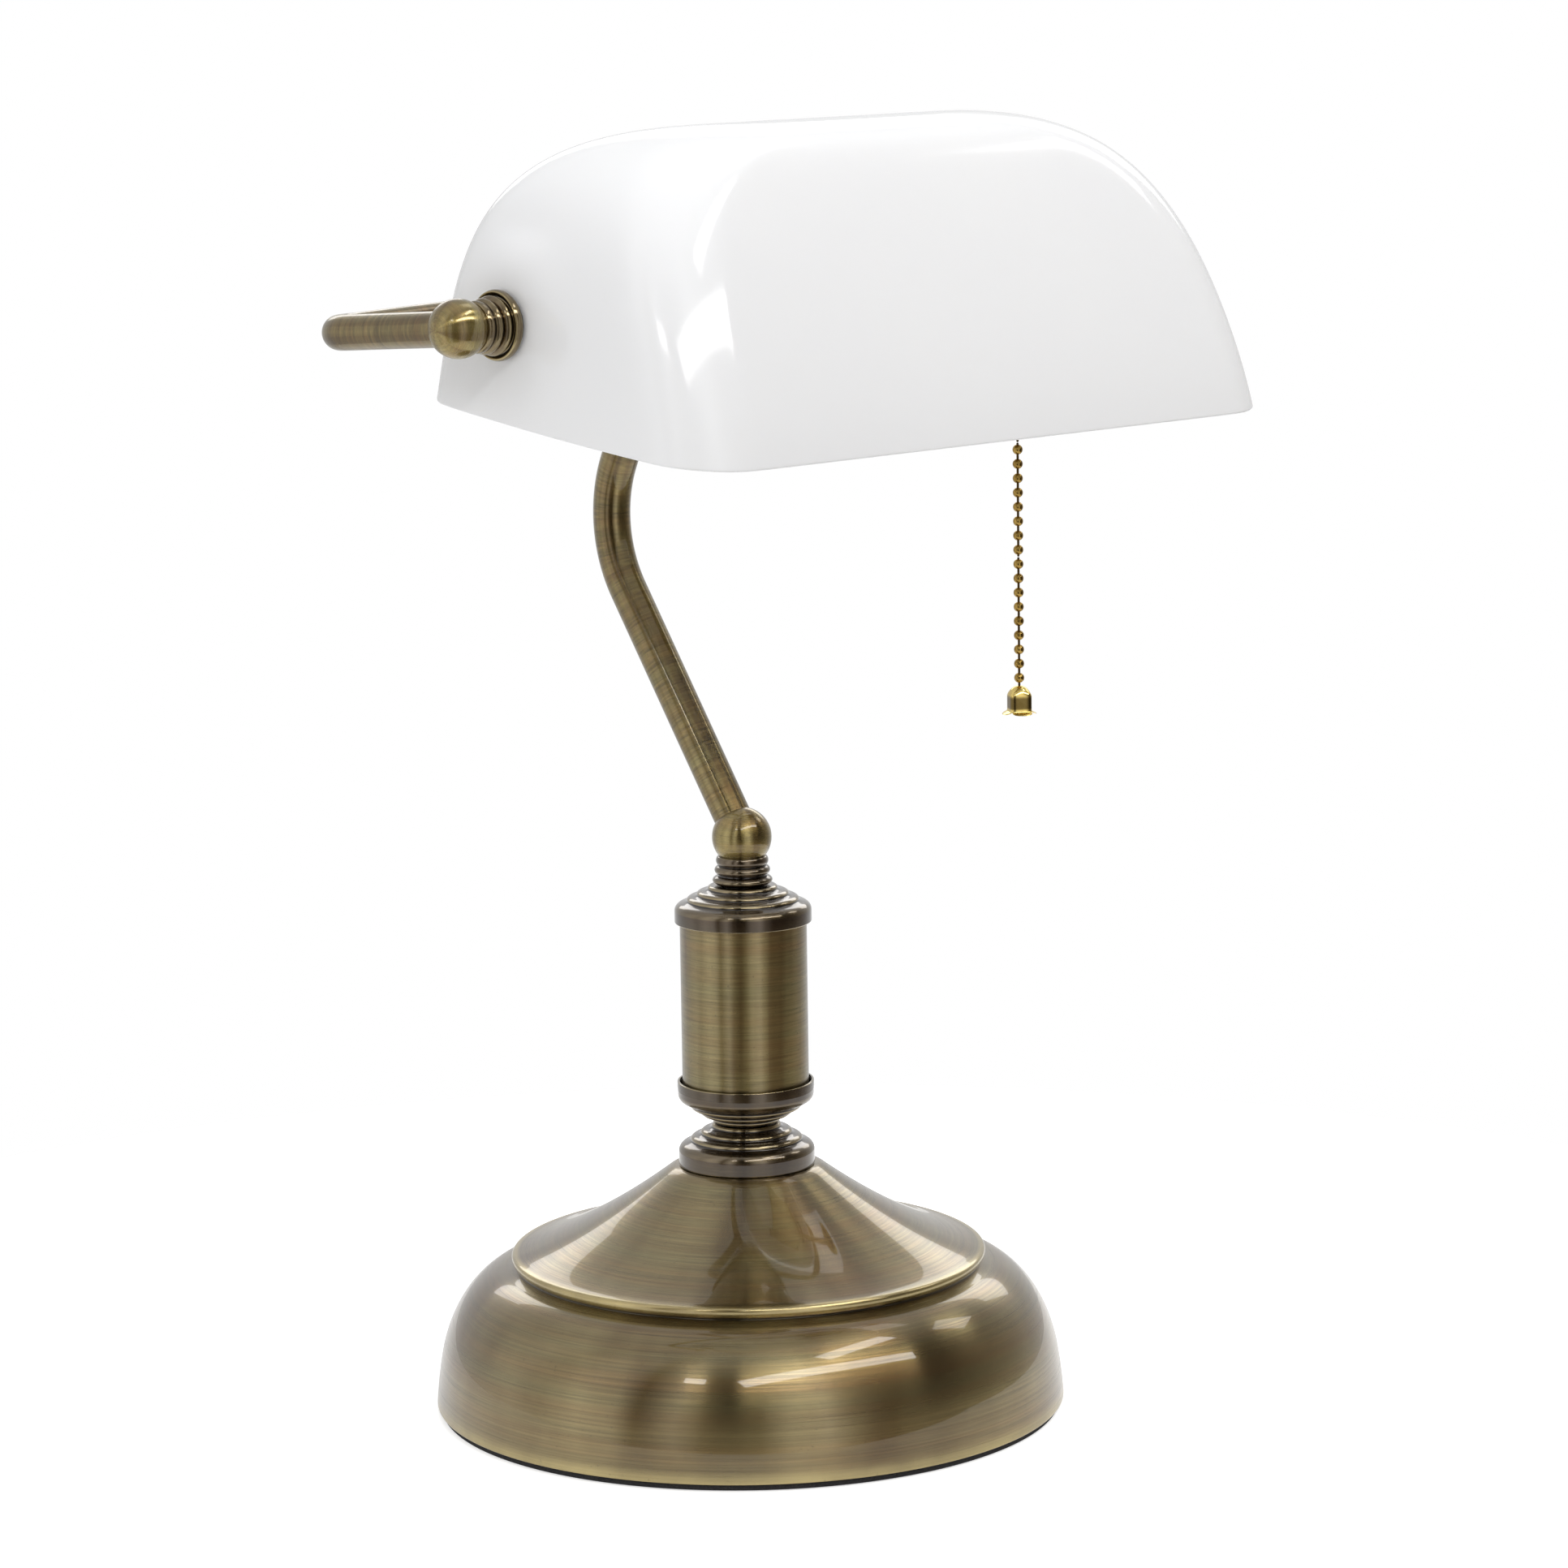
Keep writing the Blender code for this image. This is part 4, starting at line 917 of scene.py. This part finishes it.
def build_shade(finish):
    """Opal glass trough: outer and inner skins of one thickness, joined round the rim."""
    lifts = LOW_LIFTS + [SHADE_HEIGHT * math.sin(math.radians(a)) for a in RING_ANGLES]
    turn = Matrix.Translation(PIVOT) @ Matrix.Rotation(SHADE_TILT, 4, "X")
    work = bmesh.new()
    shells = []
    for inset in (0.0, SHADE_WALL):
        curves = shade_side_curves(inset)
        rings = []
        for lift in lifts:
            share = lift / SHADE_HEIGHT
            inner_lift = share * (SHADE_HEIGHT - inset) if share > 0.04 else lift
            half = shade_outline(inner_lift, share, curves, inset)
            height = inner_lift - SHADE_RIM
            ring = []
            for x, y in half + [(-x, y) for x, y in reversed(half[1:-1])]:
                spot = Vector((seat_x(x, y, height, SEAT - inset), y, height)) * MM
                ring.append(work.verts.new(turn @ spot))
            rings.append(ring)
        shells.append(rings)
    for rings in shells:
        for lower, upper in zip(rings, rings[1:]):
            bridge(work, lower, upper)
        close_top(work, rings[-1])
    bridge(work, shells[0][0], shells[1][0])
    bmesh.ops.recalc_face_normals(work, faces=work.faces)
    shade = from_bmesh(work, "opal_shade")
    shade.data.shade_smooth()
    smooth = shade.modifiers.new("Smooth", "SUBSURF")
    smooth.levels = 2
    smooth.render_levels = 2
    own(shade, finish["opal"], SHADE, ["glass_shade"])


def bridge(work, lower, upper):
    """Quads between two rings of the same length."""
    count = len(lower)
    for i in range(count):
        j = (i + 1) % count
        work.faces.new((lower[i], lower[j], upper[j], upper[i]))


def close_top(work, top):
    """Strips across the flat ridge, from one half of the ring to its mirror image."""
    count = len(top)
    last = count // 2
    flat = 6
    work.faces.new(top[:flat + 2] + top[-flat - 1:])
    for i in range(flat + 1, last - flat - 1):
        work.faces.new((top[i], top[i + 1], top[count - i - 1], top[count - i]))
    work.faces.new(top[last - flat - 1:last + flat + 2])


# --- pull chain ---
BEAD_RADIUS, BEAD_PITCH, LINK_RADIUS, LOWEST_BEAD = 1.45, 4.08, 0.34, 200.4
LINK_REACH, BELL_REACH = 0.12, 0.9    # past the CAD run's end, towards a hinge or into the bell
LEAD_END, LEAD_BEAD = 310.0, 1.6      # no even beads above this; the first one hangs this far down
# Round tip of a link: radius, and depth from its end.
LINK_TIP = ((0.0, 0.0), (0.6 * LINK_RADIUS, 0.07), (0.9 * LINK_RADIUS, 0.19),
            (LINK_RADIUS, LINK_RADIUS))


def link_shade(radius, height):
    """Painted shade: links stay dark and beads bright."""
    return -2.0 if radius < 1.15 * LINK_RADIUS else 0.0


def chain_run(name, node, body, finish, first, last):
    """Beads on short links, from the upper end of the run to its lower end."""
    waist = math.degrees(math.asin(LINK_RADIUS / BEAD_RADIUS))
    top, foot = first + LINK_REACH, last - (BELL_REACH if node == "chain_lower" else LINK_REACH)
    line = [(radius, top - depth) for radius, depth in LINK_TIP]
    count = int((first - LOWEST_BEAD) / BEAD_PITCH) + 1
    heights = [LOWEST_BEAD + i * BEAD_PITCH for i in range(count)]
    if node == "chain_lead":
        heights = [h for h in heights if h < LEAD_END] + [first - LEAD_BEAD]
        line = [(0.0, first), (LINK_RADIUS, first)]
    for height in sorted((h for h in heights if last < h < first), reverse=True):
        line += sphere_profile(BEAD_RADIUS, height, 19, waist, 180 - waist)
    line += [(radius, foot + depth) for radius, depth in reversed(LINK_TIP)]
    axis = Matrix.Translation((CHAIN.x, CHAIN.y, 0.0))
    turned(name, line, finish["chain"], [node], body=body, axis=axis, steps=32,
           sharp=50.0, rub_and_shade=link_shade, reach=0.0)


CHAIN_RUNS = (("beads_lead", "chain_lead", "chain_top"),
              ("beads_upper", "chain_upper", "chain_a"),
              ("beads_middle", "chain_middle", "chain_b"),
              ("beads_lower", "chain_lower", "chain_c"))


def build_chain(finish):
    for name, node, body in CHAIN_RUNS:
        chain_run(name, node, body, finish, top_of(node), bottom_of(node))


BELL_HALF, BELL_WALL, BELL_DOME, BELL_ROLL = 3.15, 0.28, 3.1, 0.85
BELL_PETAL, BELL_SLANT = 2.35, math.radians(66.0)  # length of a petal, and how far it turns out
BELL_SQUARE, BELL_STEPS = 5.0, 96
BELL_YAW = FRONT_AZIMUTH + math.radians(12.0)
BELL_PAINTED_SHADE = 0.86  # painted shade: how dark the body is painted between the crown and the petals


def bell_column(turn, inset, top, bottom):
    """One vertical line of the bell, from crown to petal edge, as (radius, height) pairs."""
    face = (turn - BELL_YAW + math.pi / 4) % (math.pi / 2) - math.pi / 4
    across = min(abs(face) / (math.pi / 4), 1.0)
    length = BELL_PETAL * max(1 - across ** 2.4, 0.0) ** 0.5
    square = (abs(math.cos(face)) ** BELL_SQUARE
              + abs(math.sin(face)) ** BELL_SQUARE) ** (-1 / BELL_SQUARE)
    straight = BELL_PETAL - BELL_ROLL * BELL_SLANT
    body_end = bottom + BELL_ROLL * math.sin(BELL_SLANT) + straight * math.cos(BELL_SLANT) + 0.02
    line = []
    for i in range(13):
        angle = math.pi / 2 * i / 12
        blend = math.sin(angle) ** 6
        radius = (BELL_HALF - inset) * math.sin(angle) * (1 + (square - 1) * blend)
        line.append((radius, top - inset - (BELL_DOME - inset) * (1 - math.cos(angle))))
    wall = (BELL_HALF - inset) * square
    for i in range(1, 9):
        line.append((wall, top - BELL_DOME - (top - BELL_DOME - body_end) * i / 8))
    for i in range(1, 13):
        run = length * i / 12
        bend = min(run / BELL_ROLL, BELL_SLANT)
        rest = max(run - BELL_ROLL * BELL_SLANT, 0.0)
        out = BELL_ROLL * (1 - math.cos(bend)) + rest * math.sin(bend)
        down = BELL_ROLL * math.sin(bend) + rest * math.cos(bend)
        lip = inset * math.sin(bend)
        line.append((wall + out + lip * 0.2, body_end - down + lip))
    return line


def build_bell(finish):
    """Stamped bell: domed crown, four-sided body and a petal turned out under each side."""
    top, bottom = top_of("pull_bell"), bottom_of("pull_bell")
    centre = Vector((CHAIN.x, CHAIN.y, 0.0))
    work = bmesh.new()
    layers = []
    for inset in (0.0, BELL_WALL):
        columns = []
        for k in range(BELL_STEPS):
            turn = 2 * math.pi * k / BELL_STEPS
            c, s = math.cos(turn), math.sin(turn)
            columns.append([work.verts.new(centre + Vector((radius * c, radius * s, height)) * MM)
                            for radius, height in bell_column(turn, inset, top, bottom)])
        layers.append(columns)
    for flip, columns in enumerate(layers):
        for here, there in zip(columns, columns[1:] + columns[:1]):
            for i in range(len(here) - 1):
                quad = (here[i], here[i + 1], there[i + 1], there[i])
                work.faces.new(quad[::-1] if flip else quad)
    for k in range(BELL_STEPS):
        j = (k + 1) % BELL_STEPS
        work.faces.new((layers[0][k][-1], layers[1][k][-1], layers[1][j][-1], layers[0][j][-1]))
    bmesh.ops.remove_doubles(work, verts=work.verts, dist=0.000004)
    bmesh.ops.dissolve_degenerate(work, edges=work.edges, dist=0.000002)
    bmesh.ops.recalc_face_normals(work, faces=work.faces)
    bell = from_bmesh(work, "bell_pull")
    mesh = bell.data
    # Painted shade: the body between the crown and the petals gets a negative value, which the
    # finish turns dark brown.
    wear_and_shade = mesh.attributes.new("wear_and_shade", "FLOAT", "POINT")
    for vertex, value in zip(mesh.vertices, wear_and_shade.data):
        height = vertex.co.z / MM
        body = falloff(height, top - BELL_DOME - 0.4, top - BELL_DOME + 0.9)
        value.value = -BELL_PAINTED_SHADE * body * falloff(-height, -bottom - 1.9, -bottom - 1.2)
    mesh.shade_smooth()
    mesh.set_sharp_from_angle(angle=math.radians(50.0))
    own(bell, finish["gold"], "bell", ["pull_bell"])


# --- lampholder and bulb ---
def build_lampholder(finish):
    """Cap, shell and chain outlet of the lampholder, and a tubular bulb."""
    axis = along_x(1)
    low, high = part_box("socket_cap")
    neck, skirt = high.x / MM, low.x / MM
    corners = [(5.6, neck, 0.0), (6.4, neck, 0.3), (6.4, 97.4, 0.8), (9.6, 96.6, 1.6),
               (13.6, 94.4, 2.5), (16.4, 91.2, 1.2), (17.1, 90.2, 0.6), (17.1, skirt, 0.3),
               (16.5, skirt, 0.0)]
    turned("holder_cap", with_wall(rounded(corners), 0.5), finish["holder"],
           ["socket_cap"], axis=axis, closed=True)
    low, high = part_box("socket_shell")
    back, mouth, outer, inner = high.x / MM, low.x / MM, 16.2, 15.7
    corners = [(outer, back, 0.0), (outer, 80.0, 0.0), (outer, 60.0, 0.0),
               (outer, mouth + 3.0, 0.8), (17.0, mouth + 1.4, 0.8), (17.0, mouth + 0.5, 0.5),
               (16.4, mouth, 0.3), (inner, mouth + 0.6, 0.3), (inner, 60.0, 0.0),
               (inner, back, 0.0)]
    turned("holder_shell", rounded(corners), finish["holder"], ["socket_shell"],
           axis=axis, closed=True)
    top, low = top_of("chain_outlet"), bottom_of("chain_outlet")
    corners = [(2.1, top, 0.0), (2.9, top, 0.2), (2.9, low + 4.2, 1.2), (4.2, low + 0.9, 0.8),
               (4.3, low, 0.3), (3.5, low, 0.3), (2.1, low + 3.6, 0.8)]
    turned("chain_bell_mouth", rounded(corners), finish["holder"],
           ["chain_outlet"], axis=Matrix.Translation((CHAIN.x, CHAIN.y, 0.0)), steps=48,
           closed=True)
    low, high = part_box("bulb_glass")
    end = low.x / MM
    radius = (high.z - low.z) / 2 / MM
    line = [(12.1, 60.0, 0.0), (12.1, 47.0, 3.0), (13.4, 38.0, 4.0), (radius, 30.0, 5.0),
            (radius, 0.0, 0.0), (radius, end + radius, 0.0)]
    dome = arc((0.0, end + radius), radius, -6, -84, 13)
    turned("tubular_bulb", rounded(line) + dome + [(0.0, end)], finish["bulb"],
           ["bulb_glass"], axis=axis, steps=96)


# CAD nodes that keep their shape, by finish.
CAD_FINISHES = {
    "steel": ("bottom_plate", "base_washer", "base_nut", "threaded_rod", "left_nipple",
              "right_nipple", "left_lock_nut", "right_lock_nut", "socket_bushing", "pull_lever",
              "lever_pin"),
    "iron": ("base_weight",),
    "rubber": ("left_outer_washer", "right_outer_washer", "left_inner_washer",
               "right_inner_washer"),
    "card": ("insulating_liner",),
    "phenolic": ("switch_block",),
    "aluminium": ("screw_shell", "bulb_base"),
    "gold": ("centre_contact",),
}


def finish_cad_nodes(finish):
    for key, nodes in CAD_FINISHES.items():
        for node in nodes:
            piece = frame["nodes"][node]
            piece.data.materials.clear()
            piece.data.materials.append(finish[key])


def build_finishes():
    """Every finish, by key; colours are linear."""
    olive, bronze, pale = (0.245, 0.192, 0.095), (0.080, 0.055, 0.032), (0.52, 0.42, 0.19)
    return {
        "cone": brass("antique_brass_base", olive, pale, 0.25),
        "tube": brass("antique_brass_sleeve", (0.245, 0.195, 0.090), pale, 0.30),
        "stem": brass("antique_brass_stem", (0.240, 0.188, 0.078), pale, 0.24, 0.7, 0.30),
        "ball": brass("antique_brass_ball", (0.29, 0.23, 0.088), pale, 0.27),
        "dark": brass("antique_brass_dark", bronze, (0.36, 0.285, 0.15), 0.20, 0.9, 0.10),
        "mid": brass("antique_brass_collar", (0.17, 0.13, 0.065), (0.45, 0.36, 0.17), 0.20, 0.8,
                     0.14),
        "chain": gold("chain_brass", (0.24, 0.145, 0.032), (0.45, 0.295, 0.08)),
        "gold": gold("bright_brass", (0.76, 0.55, 0.15), (0.92, 0.71, 0.25)),
        "holder": gold("socket_brass", (0.27, 0.205, 0.09), (0.38, 0.30, 0.13)),
        "opal": opal(),
        "bulb": plain("frosted_bulb_glass", (0.86, 0.86, 0.84), (0.92, 0.92, 0.90), 500.0, 0.35),
        "felt": plain("black_felt", (0.008, 0.008, 0.009), (0.035, 0.034, 0.036), 2600.0, 0.92,
                      bump=0.6),
        "rubber": plain("black_rubber", (0.012, 0.012, 0.012), (0.030, 0.030, 0.031), 900.0, 0.62),
        "steel": plain("zinc_plated_steel", (0.42, 0.42, 0.41), (0.66, 0.66, 0.65), 700.0, 0.34,
                       metallic=1.0),
        "iron": plain("painted_cast_iron", (0.015, 0.015, 0.017), (0.04, 0.04, 0.042), 450.0, 0.6,
                      bump=0.5, depth=0.0006),
        "phenolic": plain("brown_phenolic", (0.030, 0.018, 0.013), (0.055, 0.034, 0.024), 300.0,
                          0.32),
        "card": plain("fibre_card", (0.22, 0.15, 0.09), (0.38, 0.28, 0.18), 900.0, 0.85, bump=0.4),
        "aluminium": plain("satin_aluminium", (0.60, 0.60, 0.61), (0.80, 0.80, 0.81), 600.0, 0.28,
                           metallic=1.0),
    }


build_camera()
build_light()
build_floor()
FINISH = build_finishes()
build_base(FINISH)
build_grommet(FINISH)
build_stem(FINISH, build_column(FINISH))
build_shade(FINISH)
build_chain(FINISH)
build_bell(FINISH)
build_lampholder(FINISH)
finish_cad_nodes(FINISH)
